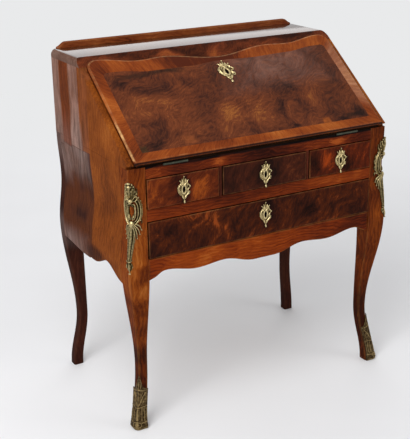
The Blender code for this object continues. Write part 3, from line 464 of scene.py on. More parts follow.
# Golden brown with an upright grain; the sheet behind is purple-brown under a painted grey sheen of reflected
# light, its joints cracked
side_veneer = veneer(
    "golden walnut veneer with old repairs and painted sheen",
    ("#2e150b", "#64300f", "#8b4816", "#a9692c"),
    grain=UPRIGHT,
    stretch=9,
    weights=(0.06, 0.30, 0.26),
    patches=(
        ((0, -0.14, 0.79), (ALL, 0.09, 0.07), 0.16, 0.1),
        ((0, 0.03, 0.925), (ALL, 0.035, 0.05), 0.18, 0.1),
        # Darker on the sloping edge under the fall's lip: painted shadow with dirt
        ((0, -0.095, 0.866), (ALL, 0.026, 0.022), -0.40, 0.2),
        ((0, -0.08, 0.71), (ALL, 0.10, 0.06), -0.10, 0.1),
        ((0, -0.02, 0.44), (ALL, 0.07, 0.030), -0.24, 0.4),
    ),
    inlays=(
        (*SHEET, "#381b12", (ALL, 0.010, 0.002), 1.0),
        # Pale grey boxes over the dark sheet, at its top and at its foot: painted sheen of reflected light
        ((0, 0.155, 0.705), (ALL, 0.165, 0.110), "#8a756e", (ALL, 0.065, 0.100), 0.74),
        ((0, 0.190, 0.640), (ALL, 0.065, 0.065), "#86706a", (ALL, 0.045, 0.055), 0.45),
        ((0, 0.190, 0.425), (ALL, 0.190, 0.065), "#86706a", (ALL, 0.100, 0.060), 0.70),
        # Dark spots on the left cheek's sloping edge by the fall's lip: painted shadow with dirt
        ((LEFT, 0.005, 0.924), (0.03, 0.032, 0.018), "#442317", (0.01, 0.020, 0.010), 0.9),
        ((LEFT, -0.085, 0.868), (0.03, 0.032, 0.018), "#4d2814", (0.01, 0.022, 0.012), 0.6),
        *strips,
        *cracks,
    ),
)


def lower_edge(node, axis):
    """The (place, height) stations of a solid's lower edge along an axis."""
    feet = {}
    for vertex in nodes[node].data.vertices:
        place = round(vertex.co[axis], 5)
        feet[place] = min(vertex.co.z, feet.get(place, vertex.co.z))
    return sorted(feet.items())


outer_wall = faces_of("front_leg_right")[1]
for word, side in (("left", -1), ("right", 1)):
    node = f"side_panel_{word}"
    shaped = lower_edge(node, 1)
    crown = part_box(node)[1].z
    columns = []
    worn = []
    for y in spread(shaped[0][0], shaped[-1][0], SIDE_COLUMNS):
        notch = max(0, 1 - abs(y - CUSP_PLACE) / CUSP_HALF)
        foot = flow(shaped, y) + CUSP_RISE * notch**2
        heights = spread(crown, foot + SIDE_EDGE_ROUND, SIDE_ROWS)
        column = [(flow(outer_wall, z), z) for z in heights]
        inner = [(x - SIDE_THICKNESS, z) for x, z in reversed(column)]
        x = column[-1][0]
        for turn in spread(0, math.pi / 2, SIDE_ROUND_STEPS + 1)[1:]:
            drop = SIDE_EDGE_ROUND * math.sin(turn)
            column.append((x - SIDE_EDGE_ROUND * (1 - math.cos(turn)), foot + SIDE_EDGE_ROUND - drop))
        columns.append([(side * across, y, z) for across, z in column + [(inner[0][0], foot)] + inner])
        worn.append([0.0] * SIDE_ROWS + [LEG_WEAR] * SIDE_ROUND_STEPS + [0.0] * (SIDE_ROWS + 1))
    stand_for(skin(f"{node}_veneered", columns, side_veneer, worn), "walnut", node)

# Back, writing bed and runners
# The back, glued up from four boards, the dust board and the lower drawer's runners are riven oak, planed
# and left bare; the writing bed inside the fall is walnut. All are let into grooves, their edges just planed.

MERGE = 0.00002
FLAT = math.radians(1)
PLANED_EDGE = 0.0006
OAK_TONES = ("#54391f", "#77552f", "#917048", "#a88a5f")
OAK_WEIGHTS = (0.20, 0.44, 0.10)
BOARD_JOINTS = (-0.192, 0.011, 0.178)
JOINT_HALF = 0.0011


def eased(node, material, slot, width=PLANED_EDGE):
    """A copy of a solid with its sharp edges taken off, in the solid's place."""
    shape = bmesh.new()
    shape.from_mesh(nodes[node].data)
    bmesh.ops.remove_doubles(shape, verts=shape.verts, dist=MERGE)
    bmesh.ops.dissolve_limit(shape, angle_limit=FLAT, verts=shape.verts, edges=shape.edges)
    arrises = [edge for edge in shape.edges if edge.calc_face_angle(0) > SHARP]
    bmesh.ops.bevel(
        shape, geom=arrises, offset=width, segments=2, profile=0.5, affect="EDGES", clamp_overlap=True
    )
    mesh = bpy.data.meshes.new(f"{node}_eased")
    shape.to_mesh(mesh)
    shape.free()
    mesh.materials.clear()
    mesh.materials.append(material)
    stand_for(show(f"{node}_eased", mesh), slot, node)


# Pale and straight in the grain, without a gloss
oak = veneer(
    "planed oak", OAK_TONES, ring=0.006, stretch=30, swirl=0.02, weights=OAK_WEIGHTS, polish=0.0, rough=0.62
)
# Greyed and dry, each board a little lighter or darker than its neighbour, with black joints
upright_oak = veneer(
    "weathered oak",
    ("#45331f", "#664c2f", "#7d6342", "#957b58"),
    grain=UPRIGHT,
    ring=0.007,
    stretch=30,
    swirl=0.02,
    weights=(0.08, 0.30, 0.30),
    streak=0.0018,
    patches=(
        ((-0.29, 0.2, 0.65), (0.10, ALL, 0.60), -0.10, 0.9),
        ((0.09, 0.2, 0.65), (0.083, ALL, 0.60), 0.09, 0.9),
    ),
    inlays=[
        ((x, 0.2, 0.65), (JOINT_HALF, ALL, ALL), "#150e08", (JOINT_HALF, ALL, ALL), 1.0) for x in BOARD_JOINTS
    ],
    polish=0.0,
    rough=0.68,
)
# Brown and even, with a soft wax sheen
bed_walnut = veneer("waxed walnut", ("#33190d", "#59300f", "#744318", "#8c5a2a"), ring=0.010, polish=0.15)
eased("back_panel", upright_oak, "oak")
eased("dust_board", oak, "oak")
eased("lower_drawer_bearers", oak, "oak")
eased("writing_bed", bed_walnut, "walnut")

# Rails, dividers and apron
# The front is framed by two rails and an apron of red fruitwood between the posts, with two thin uprights
# between the small drawers. The apron's lower edge is sawn to a serpentine and rounded with a file.

APRON_POINTS = 140
APRON_ROUND = 0.0025
ROUND_STEPS = 4
EDGE_WEAR = 0.35


def inset(outline, distance):
    """An anticlockwise outline moved inwards, its corners mitred."""
    moved = []
    for k, corner in enumerate(outline):
        here = Vector(corner)
        before = (here - Vector(outline[k - 1])).normalized()
        after = (Vector(outline[(k + 1) % len(outline)]) - here).normalized()
        first = Vector((-before.y, before.x))
        second = Vector((-after.y, after.x))
        moved.append(here + (first + second) * (distance / (1 + first.dot(second))))
    return moved


def rounded_edge(thickness, radius, reach):
    """A board's edge from its back to its face: (inset, height, rubbed), the face's arris rounded over."""
    side = thickness - radius
    profile = [(0.0, 0.0, 0.0), (0.0, side - reach, 0.0), (0.0, side, EDGE_WEAR)]
    for k in range(1, ROUND_STEPS + 1):
        a = math.pi / 2 * k / ROUND_STEPS
        profile.append((radius * (1 - math.cos(a)), thickness - radius * (1 - math.sin(a)), EDGE_WEAR))
    return profile + [(radius + reach, thickness, 0.0)]


def moulded(name, outline, profile, place, material):
    """A board of an outline, its edge worked to a profile. Place turns (u, v, height) into a point."""
    rings = []
    worn = []
    for distance, height, rub in profile:
        rings.append([place(u, v, height) for u, v in inset(outline, distance)])
        worn.append([rub] * len(outline))
    return skin(name, rings, material, worn)


# Dark red with two fiery flecks; darker in the middle and black along its top, painted shadow of the fall's
# lip, with dirt in the black
rail_wood = veneer(
    "polished fruitwood top rail",
    ("#280d07", "#4b1b0c", "#6c2a0f", "#9a4a1c"),
    ring=0.010,
    stretch=16,
    patches=(
        ((-0.327, 0, 0.70), (0.06, ALL, 0.05), 0.16, 0.2),
        ((-0.140, 0, 0.705), (0.035, ALL, 0.03), 0.40, 0.0),
        # Darker in the middle: painted shadow of the fall's lip
        ((0.02, 0, 0.70), (0.14, ALL, 0.04), -0.28, 0.5),
        ((0.236, 0, 0.709), (0.035, ALL, 0.016), 0.45, 0.0),
        ((0.31, 0, 0.70), (0.05, ALL, 0.04), -0.20, 0.3),
    ),
    # A black strip along the top: painted shadow under the fall's lip, with dirt
    inlays=(((0, 0, 0.7260), (ALL, ALL, 0.0090), "#0f0907", (ALL, ALL, 0.004), 1.3),),
)
# Red-brown, straight in the grain and warmer to the right
mid_wood = veneer(
    "polished fruitwood middle rail",
    ("#2b0f07", "#561f0b", "#78300e", "#974818"),
    ring=0.008,
    stretch=18,
    swirl=0.03,
    patches=(
        ((-0.24, 0, 0.605), (0.14, ALL, 0.03), -0.14, 0.2),
        ((-0.08, 0, 0.605), (0.13, ALL, 0.03), -0.20, 0.4),
        ((0.24, 0, 0.605), (0.14, ALL, 0.03), 0.18, 0.4),
    ),
)
# Bright orange-red at the left, deeper to the right, rubbed along the shaped edge
apron_wood = veneer(
    "polished fruitwood apron",
    ("#361208", "#6a270b", "#8c3c10", "#a85c22"),
    ring=0.009,
    stretch=18,
    swirl=0.03,
    patches=(
        ((-0.21, 0, 0.47), (0.13, ALL, 0.05), 0.16, 0.0),
        ((0.28, 0, 0.47), (0.30, ALL, 0.30), -0.24, 0.3),
    ),
    rub="#9c6230",
)
# Dark brown, with the grain upright
divider_wood = veneer(
    "polished fruitwood upright", ("#1f0d08", "#3d1a0f", "#562616", "#74422c"), grain=UPRIGHT, ring=0.008
)
eased("top_rail", rail_wood, "fruitwood")
eased("mid_rail", mid_wood, "fruitwood")
eased("drawer_divider_left", divider_wood, "fruitwood")
eased("drawer_divider_right", divider_wood, "fruitwood")

low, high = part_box("front_apron")
shaped = lower_edge("front_apron", 0)
outline = [(x, flow(shaped, x)) for x in spread(low.x, high.x, APRON_POINTS)]
outline += [(high.x, high.z), (low.x, high.z)]
apron = moulded(
    "front_apron_shaped",
    outline,
    rounded_edge(high.y - low.y, APRON_ROUND, RUB_REACH),
    lambda u, v, height: (u, high.y - height, v),
    apron_wood,
)
stand_for(apron, "fruitwood", "front_apron")

# Cheeks
# The upper sides are walnut boards with the grain upright, cut to the slope in front and faced with the
# same sheets as the sides below. On the left one four strips have been let in, grey and red-brown by turns;
# the grey is painted reflection on their veneer.

CHEEK_EDGE = 0.0002

eased("cheek_left", side_veneer, "walnut", CHEEK_EDGE)
eased("cheek_right", side_veneer, "walnut", CHEEK_EDGE)

# Top, gallery and head panel
# The narrow top is one board, rounded over at its ends and polished like glass. A low moulded rail stands
# along its back, its ends cut in an ogee, and a sloping panel closes the case above the fall.

TOP_END_RADIUS = 0.015
TOP_END_STEPS = 12
TOP_ARRIS = 0.0012
GALLERY_OGEE = 0.026
GALLERY_END_RISE = 0.004
GALLERY_POINTS = 16
GALLERY_ROUND = 0.003
GALLERY_RUB = 0.001
END_FACING = 0.35
FRONT_FACING = -0.2

hinge_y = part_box("top_rail")[0].y
hinge_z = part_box("cheek_left")[0].z
cheek_points = [vertex.co for vertex in nodes["cheek_left"].data.vertices]
nose = max((co for co in cheek_points if co.y < hinge_y + MERGE), key=lambda co: co.z)
cheek_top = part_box("cheek_left")[1].z
brow = min((co for co in cheek_points if co.z > cheek_top - MERGE), key=lambda co: co.y)
slope_angle = math.atan2(brow.z - nose.z, brow.y - nose.y)
slope_origin = (0, hinge_y, hinge_z)
slope = Matrix.Translation(slope_origin) @ Matrix.Rotation(slope_angle, 4, "X")
slope_turn = (slope_angle, 0, 0)
up_slope = slope.to_3x3() @ Vector((0, 1, 0))
into_desk = slope.to_3x3() @ Vector((0, 0, -1))


def on_slope(x, up, out):
    """The place in the desk of a point given across it, up the slope from the hinge line and outwards."""
    return slope @ Vector((x, up, out))


def slope_box(node):
    """A solid's lowest and highest corners in the slope's frame."""
    inverse = slope.inverted()
    points = [inverse @ vertex.co for vertex in nodes[node].data.vertices]
    low = Vector([min(point[k] for point in points) for k in range(3)])
    high = Vector([max(point[k] for point in points) for k in range(3)])
    return low, high


def also_finish(piece, *materials):
    """Gives a piece further finishes after its first."""
    for material in materials:
        piece.data.materials.append(material)


# Dark walnut with slanting flames, two of them bright
head_veneer = veneer(
    "flame walnut head veneer",
    ("#24100b", "#472010", "#683019", "#8a4720"),
    grain=(0, 0, math.radians(28)),
    origin=slope_origin,
    turn=slope_turn,
    ring=0.022,
    stretch=5,
    swirl=0.09,
    patches=(
        ((-0.13, 0.35, 0), (0.05, 0.03, ALL), 0.25, 0.2),
        ((-0.06, 0.35, 0), (0.05, 0.03, ALL), -0.20, 0.2),
        ((0.0, 0.34, 0), (0.035, 0.03, ALL), 0.25, 0.2),
        ((-0.21, 0.35, 0), (0.06, 0.03, ALL), -0.24, 0.2),
        ((0, 0.376, 0), (ALL, 0.020, ALL), -0.22, 0.0),
    ),
)
eased("head_panel", head_veneer, "walnut")

# Dark under a thick varnish that mirrors the light behind it
top_veneer = veneer(
    "mirror polished walnut",
    ("#21110b", "#3f2010", "#552e16", "#6a4226"),
    ring=0.012,
    stretch=18,
    polish=1.0,
    varnish_ior=1.55,
    rough=0.30,
)
# Greyed and bare where the rounded ends have lost their polish
end_veneer = veneer(
    "worn walnut end grain", ("#3c241b", "#5f4337", "#7a5f54", "#93796e"), grain=UPRIGHT, ring=0.004
)
low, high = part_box("top_board")
deep = (vertex.co.y for vertex in nodes["top_board"].data.vertices)
front_edge = max(y for y in deep if y < (low.y + high.y) / 2)
slant = (front_edge - low.y) / (high.z - low.z)
arc = spread(0, math.pi / 2, TOP_END_STEPS)
ends = [(high.x - TOP_END_RADIUS * (1 - math.cos(a)), TOP_END_RADIUS * (1 - math.sin(a))) for a in arc]
rings = []
for x, drop in [(-x, drop) for x, drop in ends] + [(x, drop) for x, drop in reversed(ends)]:
    surface = high.z - drop
    lip = low.y + slant * (surface - low.z)
    section = [(high.y, low.z), (low.y, low.z), (lip - slant * TOP_ARRIS, surface - TOP_ARRIS)]
    section += [(lip + TOP_ARRIS, surface), (high.y - TOP_ARRIS, surface), (high.y, surface - TOP_ARRIS)]
    rings.append([(x, y, z) for y, z in section])
top = skin("top_board_polished", rings, top_veneer, [[0.0] * len(rings[0])] * len(rings))
also_finish(top, end_veneer, head_veneer)
for polygon in top.data.polygons:
    if abs(polygon.normal.x) > END_FACING:
        polygon.material_index = 1
    elif polygon.normal.y < FRONT_FACING:
        polygon.material_index = 2
stand_for(top, "walnut", "top_board")

low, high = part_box("top_gallery")
rise = high.z - low.z
right = [(high.x, low.z)]
for share in spread(0, 1, GALLERY_POINTS):
    climb = GALLERY_END_RISE + (rise - GALLERY_END_RISE) * (1 - math.cos(math.pi * share)) / 2
    right.append((high.x - GALLERY_OGEE * share, low.z + climb))
left = [(-x, z) for x, z in reversed(right)]
gallery_foot = low.z + GALLERY_ROUND + GALLERY_RUB + MERGE
# Red-brown and lightly polished, its rounded edge rubbed
gallery_veneer = veneer("polished walnut gallery", ("#38170c", "#662d14", "#7f421f", "#9a6034"), ring=0.008)
gallery = moulded(
    "top_gallery_moulded",
    right + left,
    rounded_edge(high.y - low.y, GALLERY_ROUND, GALLERY_RUB),
    lambda u, v, height: (u, high.y - height, v if v > gallery_foot else low.z),
    gallery_veneer,
)
stand_for(gallery, "walnut", "top_gallery")

# Drawer boxes
# Each drawer is an oak box, dovetailed at its corners, its bottom let into a groove; the sides are planed
# thin and run on the dust board and the bearers.

DRAWERS = ("upper_left_drawer", "upper_centre_drawer", "upper_right_drawer", "lower_drawer")
TAIL_LENGTH = 0.0133
TAIL_WIDE = 0.014
TAIL_THICK = 0.0015
TAIL_TAPER = 0.68
TAIL_SPACING = 0.019

# Pale oak with the grain running back, dull where it slides
deep_oak = veneer(
    "planed oak drawer side",
    OAK_TONES,
    grain=(0, 0, math.radians(90)),
    ring=0.006,
    stretch=30,
    swirl=0.02,
    weights=OAK_WEIGHTS,
    polish=0.0,
    rough=0.60,
)


def keep(piece):
    """Turns what a piece's modifiers make into its own mesh."""
    graph = bpy.context.evaluated_depsgraph_get()
    mesh = bpy.data.meshes.new_from_object(
        piece.evaluated_get(graph), preserve_all_data_layers=True, depsgraph=graph
    )
    piece.modifiers.clear()
    piece.data = mesh


def add_tree(name, sizes):
    """An empty geometry tree with a mesh input and named lengths. Gives the tree and its input and output."""
    tree = bpy.data.node_groups.new(name, "GeometryNodeTree")
    tree.interface.new_socket("Geometry", in_out="INPUT", socket_type="NodeSocketGeometry")
    for size in sizes:
        tree.interface.new_socket(size, in_out="INPUT", socket_type="NodeSocketFloat")
    tree.interface.new_socket("Geometry", in_out="OUTPUT", socket_type="NodeSocketGeometry")
    return tree, tree.nodes.new("NodeGroupInput").outputs, tree.nodes.new("NodeGroupOutput").inputs


def grow(name, seed, tree, sizes):
    """Runs a tree over a mesh with its lengths set and keeps the result as a plain mesh piece."""
    piece = show(name, seed)
    modifier = piece.modifiers.new(tree.name, "NODES")
    modifier.node_group = tree
    for socket in tree.interface.items_tree:
        if socket.in_out == "INPUT" and socket.name in sizes:
            modifier[socket.identifier] = sizes[socket.name]
    keep(piece)
    return piece


def strew(tree, made, instances, material):
    """Ends a tree: instances on points, made real, of one material."""
    row = add(tree, "GeometryNodeInstanceOnPoints", instances)
    row = add(tree, "GeometryNodeRealizeInstances", {"Geometry": row})
    row = add(tree, "GeometryNodeSetMaterial", {"Geometry": row, "Material": material})
    tree.links.new(row, made["Geometry"])


tails, given, made = add_tree("dovetails", ("Length", "Wide", "Thick", "Taper"))
size = add(tails, "ShaderNodeCombineXYZ", {"X": given["Thick"], "Y": given["Length"], "Z": given["Wide"]})
tail = add(tails, "GeometryNodeMeshCube", {"Size": size})
x, y, z = add(tails, "ShaderNodeSeparateXYZ", {0: add(tails, "GeometryNodeInputPosition")}).node.outputs
share = add(tails, "ShaderNodeMath", {0: y, 1: given["Length"]}, operation="DIVIDE")
share = {"Value": share, "From Min": -0.5, "From Max": 0.5, "To Min": 1.0, "To Max": given["Taper"]}
share = add(tails, "ShaderNodeMapRange", share)
tapered = add(tails, "ShaderNodeMath", {0: z, 1: share}, operation="MULTIPLY")
spot = add(tails, "ShaderNodeCombineXYZ", {"X": x, "Y": y, "Z": tapered})
tail = add(tails, "GeometryNodeSetPosition", {"Geometry": tail, "Position": spot})
strew(tails, made, {"Points": given["Geometry"], "Instance": tail}, deep_oak)
for drawer in DRAWERS:
    eased(f"{drawer}_box", deep_oak, "oak")
    low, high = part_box(f"{drawer}_box")
    count = int((high.z - low.z) / TAIL_SPACING)
    reach = TAIL_SPACING * (count - 1) / 2
    middle = (low.z + high.z) / 2
    walls = (low.x + TAIL_THICK / 2, high.x - TAIL_THICK / 2)
    ups = spread(middle - reach, middle + reach, count)
    places = [(x, low.y - TAIL_LENGTH / 2, z) for x in walls for z in ups]
    seed = bpy.data.meshes.new(f"{drawer}_tail_places")
    seed.from_pydata(places, [], [])
    sizes = {"Length": TAIL_LENGTH, "Wide": TAIL_WIDE, "Thick": TAIL_THICK, "Taper": TAIL_TAPER}
    row = grow(f"{drawer}_dovetails", seed, tails, sizes)
    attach(row, drawer)

# Drawer fronts
# The fronts are faced with saw-cut walnut crotch, each leaf with its own flame, and stand a little proud
# of the rails. Their arrises are rubbed pale by two centuries of hands, and a keyhole is cut through each.

FRONT_ROUND = 0.0015
FRONT_GAP = 0.0008
KEYHOLE_RADIUS = 0.0044
KEYHOLE_SLOT = 0.0066
KEYHOLE_LENGTH = 0.0116
KEYHOLE_POINTS = 20
LOWER_KEYHOLE_RISE = 0.010
KEYHOLE_SHADE_MOTTLE = 0.002
PEBBLE_SHARE = 0.35
PEBBLE_STRENGTH = 0.25
PEBBLE_DEPTH = 0.0003
DARK_ROUND_PLATE_SIZE = (0.026, ALL, 0.044)
# How far a cutter reaches past the wood
CUT = 0.010
# Tones of each front from its darkest to its palest, and the lighter and darker patches of its flame
FRONT_FIGURES = {
    "upper_left_drawer": (
        ("#260e08", "#471c0d", "#622810", "#8f4416"),
        (
            ((-0.195, 0, 0.655), (0.042, ALL, 0.042), 0.30, 0.0),
            ((-0.324, 0, 0.652), (0.040, ALL, 0.060), 0.10, 0.0),
            ((-0.280, 0, 0.665), (0.040, ALL, 0.060), -0.10, 0.0),
        ),
    ),
    "upper_centre_drawer": (
        ("#1b0c08", "#2d140c", "#401c10", "#5c2c17"),
        (
            ((-0.06, 0, 0.655), (0.08, ALL, 0.07), -0.12, 0.2),
            ((0.08, 0, 0.640), (0.06, ALL, 0.06), 0.16, 0.0),
        ),
    ),
    "upper_right_drawer": (
        ("#1e0b06", "#3a160a", "#551f0c", "#8f3810"),
        (
            ((0.196, 0, 0.648), (0.038, ALL, 0.040), 0.42, 0.0),
            ((0.155, 0, 0.660), (0.030, ALL, 0.060), -0.26, 0.2),
            ((0.310, 0, 0.640), (0.060, ALL, 0.040), 0.10, 0.0),
        ),
    ),
    "lower_drawer": (
        ("#170805", "#2f130a", "#4b1f0c", "#863d16"),
        (
            ((-0.140, 0, 0.540), (0.013, ALL, 0.034), 0.44, 0.0),
            ((-0.122, 0, 0.508), (0.012, ALL, 0.030), 0.30, 0.0),
            ((-0.172, 0, 0.572), (0.014, ALL, 0.018), 0.24, 0.0),
            ((-0.070, 0, 0.530), (0.060, ALL, 0.060), -0.08, 0.2),
            ((-0.290, 0, 0.545), (0.040, ALL, 0.030), -0.18, 0.0),
            ((0.228, 0, 0.524), (0.028, ALL, 0.040), -0.28, 0.0),
            ((0.300, 0, 0.545), (0.050, ALL, 0.050), 0.16, 0.0),
            ((0.176, 0, 0.520), (0.020, ALL, 0.050), 0.16, 0.0),
            ((-0.200, 0, 0.555), (0.055, ALL, 0.020), 0.16, 0.0),
            ((0.060, 0, 0.535), (0.045, ALL, 0.055), 0.14, 0.0),
            ((0.135, 0, 0.530), (0.035, ALL, 0.055), -0.22, 0.0),
        ),
    ),
}


def work(piece, helper, operation="DIFFERENCE"):
    """Cuts a helper out of a piece, or joins it on, and removes the helper."""
    modifier = piece.modifiers.new("joinery", "BOOLEAN")
    modifier.operation = operation
    modifier.solver = "EXACT"
    modifier.object = helper
    keep(piece)
    piece.data.set_sharp_from_angle(angle=SHARP)
    bpy.data.objects.remove(helper)


def mottled(name, tones, constants, spot, detail, stops, rough, pebble=None):
    """A finish that goes from one tone and roughness to another in clouds of a size, between two stops of
    their strength. Pebble is the size of a raised grain whose cells lighten it."""
    material, tree, shader = new_finish(name, constants)
    place = add(tree, "ShaderNodeTexCoord", output="Object")
    clouds = add(tree, "ShaderNodeTexNoise", {"Vector": place, "Scale": 1 / spot, "Detail": detail})
    tone = clouds
    if pebble:
        cells = {"Vector": place, "Scale": 1 / pebble}
        cells = add(tree, "ShaderNodeTexVoronoi", cells, feature="SMOOTH_F1")
        tone = add(tree, "ShaderNodeMath", {0: cells, 1: PEBBLE_SHARE, 2: clouds}, operation="MULTIPLY_ADD")
        bump = {"Height": cells, "Strength": PEBBLE_STRENGTH, "Distance": PEBBLE_DEPTH}
        tree.links.new(add(tree, "ShaderNodeBump", bump), shader.inputs["Normal"])
    colour = add(tree, "ShaderNodeValToRGB", {"Fac": tone})
    for stop, share, code in zip(colour.node.color_ramp.elements, stops, tones):
        stop.position = share
        stop.color = linear(code)
    tree.links.new(colour, shader.inputs["Base Color"])
    gloss = add(tree, "ShaderNodeMapRange", {"Value": clouds, "To Min": rough[0], "To Max": rough[1]})
    tree.links.new(gloss, shader.inputs["Roughness"])
    return material


# Black and mottled, without a gloss: painted shade inside a keyhole
keyhole_shade = mottled(
    "keyhole walls in painted shade",
    ("#060404", "#150d09"),
    {"Specular IOR Level": 0.1},
    spot=KEYHOLE_SHADE_MOTTLE,
    detail=3.0,
    stops=(0, 1),
    rough=(0.7, 0.95),
)


def cut_keyhole(piece, place):
    """Cuts a round hole over a slot, drawn from 0 to 1 along what place does with the third value. The hole's
    walls are painted black, for the shade inside it.
    """
    lowest = math.asin(KEYHOLE_SLOT / 2 / KEYHOLE_RADIUS)
    turns = spread(lowest - math.pi / 2, 3 * math.pi / 2 - lowest, KEYHOLE_POINTS)
    outline = [(KEYHOLE_RADIUS * math.cos(a), KEYHOLE_RADIUS * math.sin(a)) for a in turns]
    outline += [(-KEYHOLE_SLOT / 2, -KEYHOLE_LENGTH), (KEYHOLE_SLOT / 2, -KEYHOLE_LENGTH)]
    rings = [[place(u, v, end) for u, v in outline] for end in (0, 1)]
    helper = skin("keyhole", rings, piece.data.materials[0], [[0.0] * len(outline)] * 2)
    also_finish(helper, *piece.data.materials[1:], keyhole_shade)
    also_finish(piece, keyhole_shade)
    for polygon in helper.data.polygons:
        polygon.material_index = len(helper.data.materials) - 1
    work(piece, helper)


keyholes = {}
for drawer in DRAWERS:
    node = f"{drawer}_front"
    low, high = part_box(node)
    tones, patches = FRONT_FIGURES[drawer]
    middle = (low + high) / 2
    if drawer == "lower_drawer":
        middle.z += LOWER_KEYHOLE_RISE
    keyholes[drawer] = middle
    # Darker round the keyhole plate
    dark_round_plate = ((middle.x, 0, middle.z), DARK_ROUND_PLATE_SIZE, -0.22, 0.5)
    # Dark brown with fiery flames that lean to the left, darkest round the keyhole
    material = veneer(
        f"walnut crotch veneer, {drawer}",
        tones,
        grain=(0, math.radians(-62), 0),
        ring=0.030,
        stretch=4,
        swirl=0.10,
        weights=(0.12, 0.36, 0.42),
        streak=0.005,
        curl=0.10,
        patches=(*patches, dark_round_plate),
    )
    outline = inset([(low.x, low.z), (high.x, low.z), (high.x, high.z), (low.x, high.z)], FRONT_GAP)
    profile = rounded_edge(high.y - low.y, FRONT_ROUND, RUB_REACH)
    # The front's edges, in the gap round it, are marked below 0: painted shade in the gap, near-black
    for k in (0, 1):
        profile[k] = (*profile[k][:2], -1.0)
    front = moulded(
        f"{node}_veneered",
        outline,
        profile,
        lambda u, v, height: (u, high.y - height, v),
        material,
    )

    def through_front(u, v, end):
        """From before the front to behind it."""
        return (middle.x + u, low.y - CUT + end * (high.y - low.y + 2 * CUT), middle.z + v)

    cut_keyhole(front, through_front)
    stand_for(front, "walnut_burr", node)

# Fall
# The writing fall is a walnut board with a lip that lies over the case, its head sawn to a serpentine and
# its edge rounded. It is faced with figured burr inside a cross-banded border that thins at the keyhole.

FALL_THICKNESS = 0.020
LIP_BACK = 0.009
LIP_EDGE = 0.005
LIP_HALF = 0.3814
LIP_CORNER = 0.030
FALL_FOOT = 0.0006
SLOPE_MARGINS = ((0.0, 0.061), (0.165, 0.038), (0.232, 0.042), (0.3514, 0.024))
FIELD_HALF = 0.350
FIELD_FOOT = 0.029
FIELD_CORNER = 0.012
FIELD_MARGINS = ((0.0, 0.079), (0.10, 0.082), (0.22, 0.078), (0.31, 0.067), (0.338, 0.066))
FIELD_LEFT_MARGINS = ((0.0, 0.079), (0.10, 0.086), (0.22, 0.086), (0.31, 0.075), (0.338, 0.075))
FALL_SIDE_POINTS = 24
FALL_HEAD_POINTS = 60
FALL_FOOT_POINTS = 60
CORNER_POINTS = 10
FRAME_PROUD = 0.008
HELD_HEIGHT = 0.13
BODY_GAP = 0.001
BODY_OVERLAP = 0.003
SEAT = 0.0003
FALL_KEYHOLE_RISE = 0.015
KEYHOLE_START = 0.001
FOOT_FACING = -0.9
# The fall's material slots, in the order in which they are added
FIELD_SLOT, BAND_SLOT, BACK_SLOT, FOOT_SLOT = range(4)

top_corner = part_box("top_board")[1].z - hinge_z
slope_length = (top_corner - FRAME_PROUD * math.cos(slope_angle)) / math.sin(slope_angle)


def swing(stations, place):
    """The value at a place on a curve that swings from each (place, value) station to the next."""
    for (start, first), (end, second) in zip(stations, stations[1:]):
        if place <= end:
            share = (place - start) / (end - start)
            return first + (second - first) * (1 - math.cos(math.pi * share)) / 2
    return stations[-1][1]


def fall_outline(half, foot, corner, margins, left_margins):
    """The fall seen square on, anticlockwise from its lower right corner. Margins are measured from the
    top of the slope at places out from the middle, on the right and on the left."""
    shoulder = half - corner
    sides = []
    for stations in (margins, left_margins):
        crown = slope_length - swing(stations, shoulder) - corner
        side = [(half, up) for up in spread(foot, crown, FALL_SIDE_POINTS)]
        for a in spread(0, math.pi / 2, CORNER_POINTS)[1:]:
            side.append((shoulder + corner * math.cos(a), crown + corner * math.sin(a)))
        head = spread(shoulder, 0, FALL_HEAD_POINTS)[1:-1]
        sides.append(side + [(x, slope_length - swing(stations, x)) for x in head])
    left = [(-x, up) for x, up in reversed(sides[1])]
    base = [(x, foot) for x in spread(-half, half, FALL_FOOT_POINTS)[1:-1]]
    return sides[0] + [(0, slope_length - swing(margins, 0))] + left + base


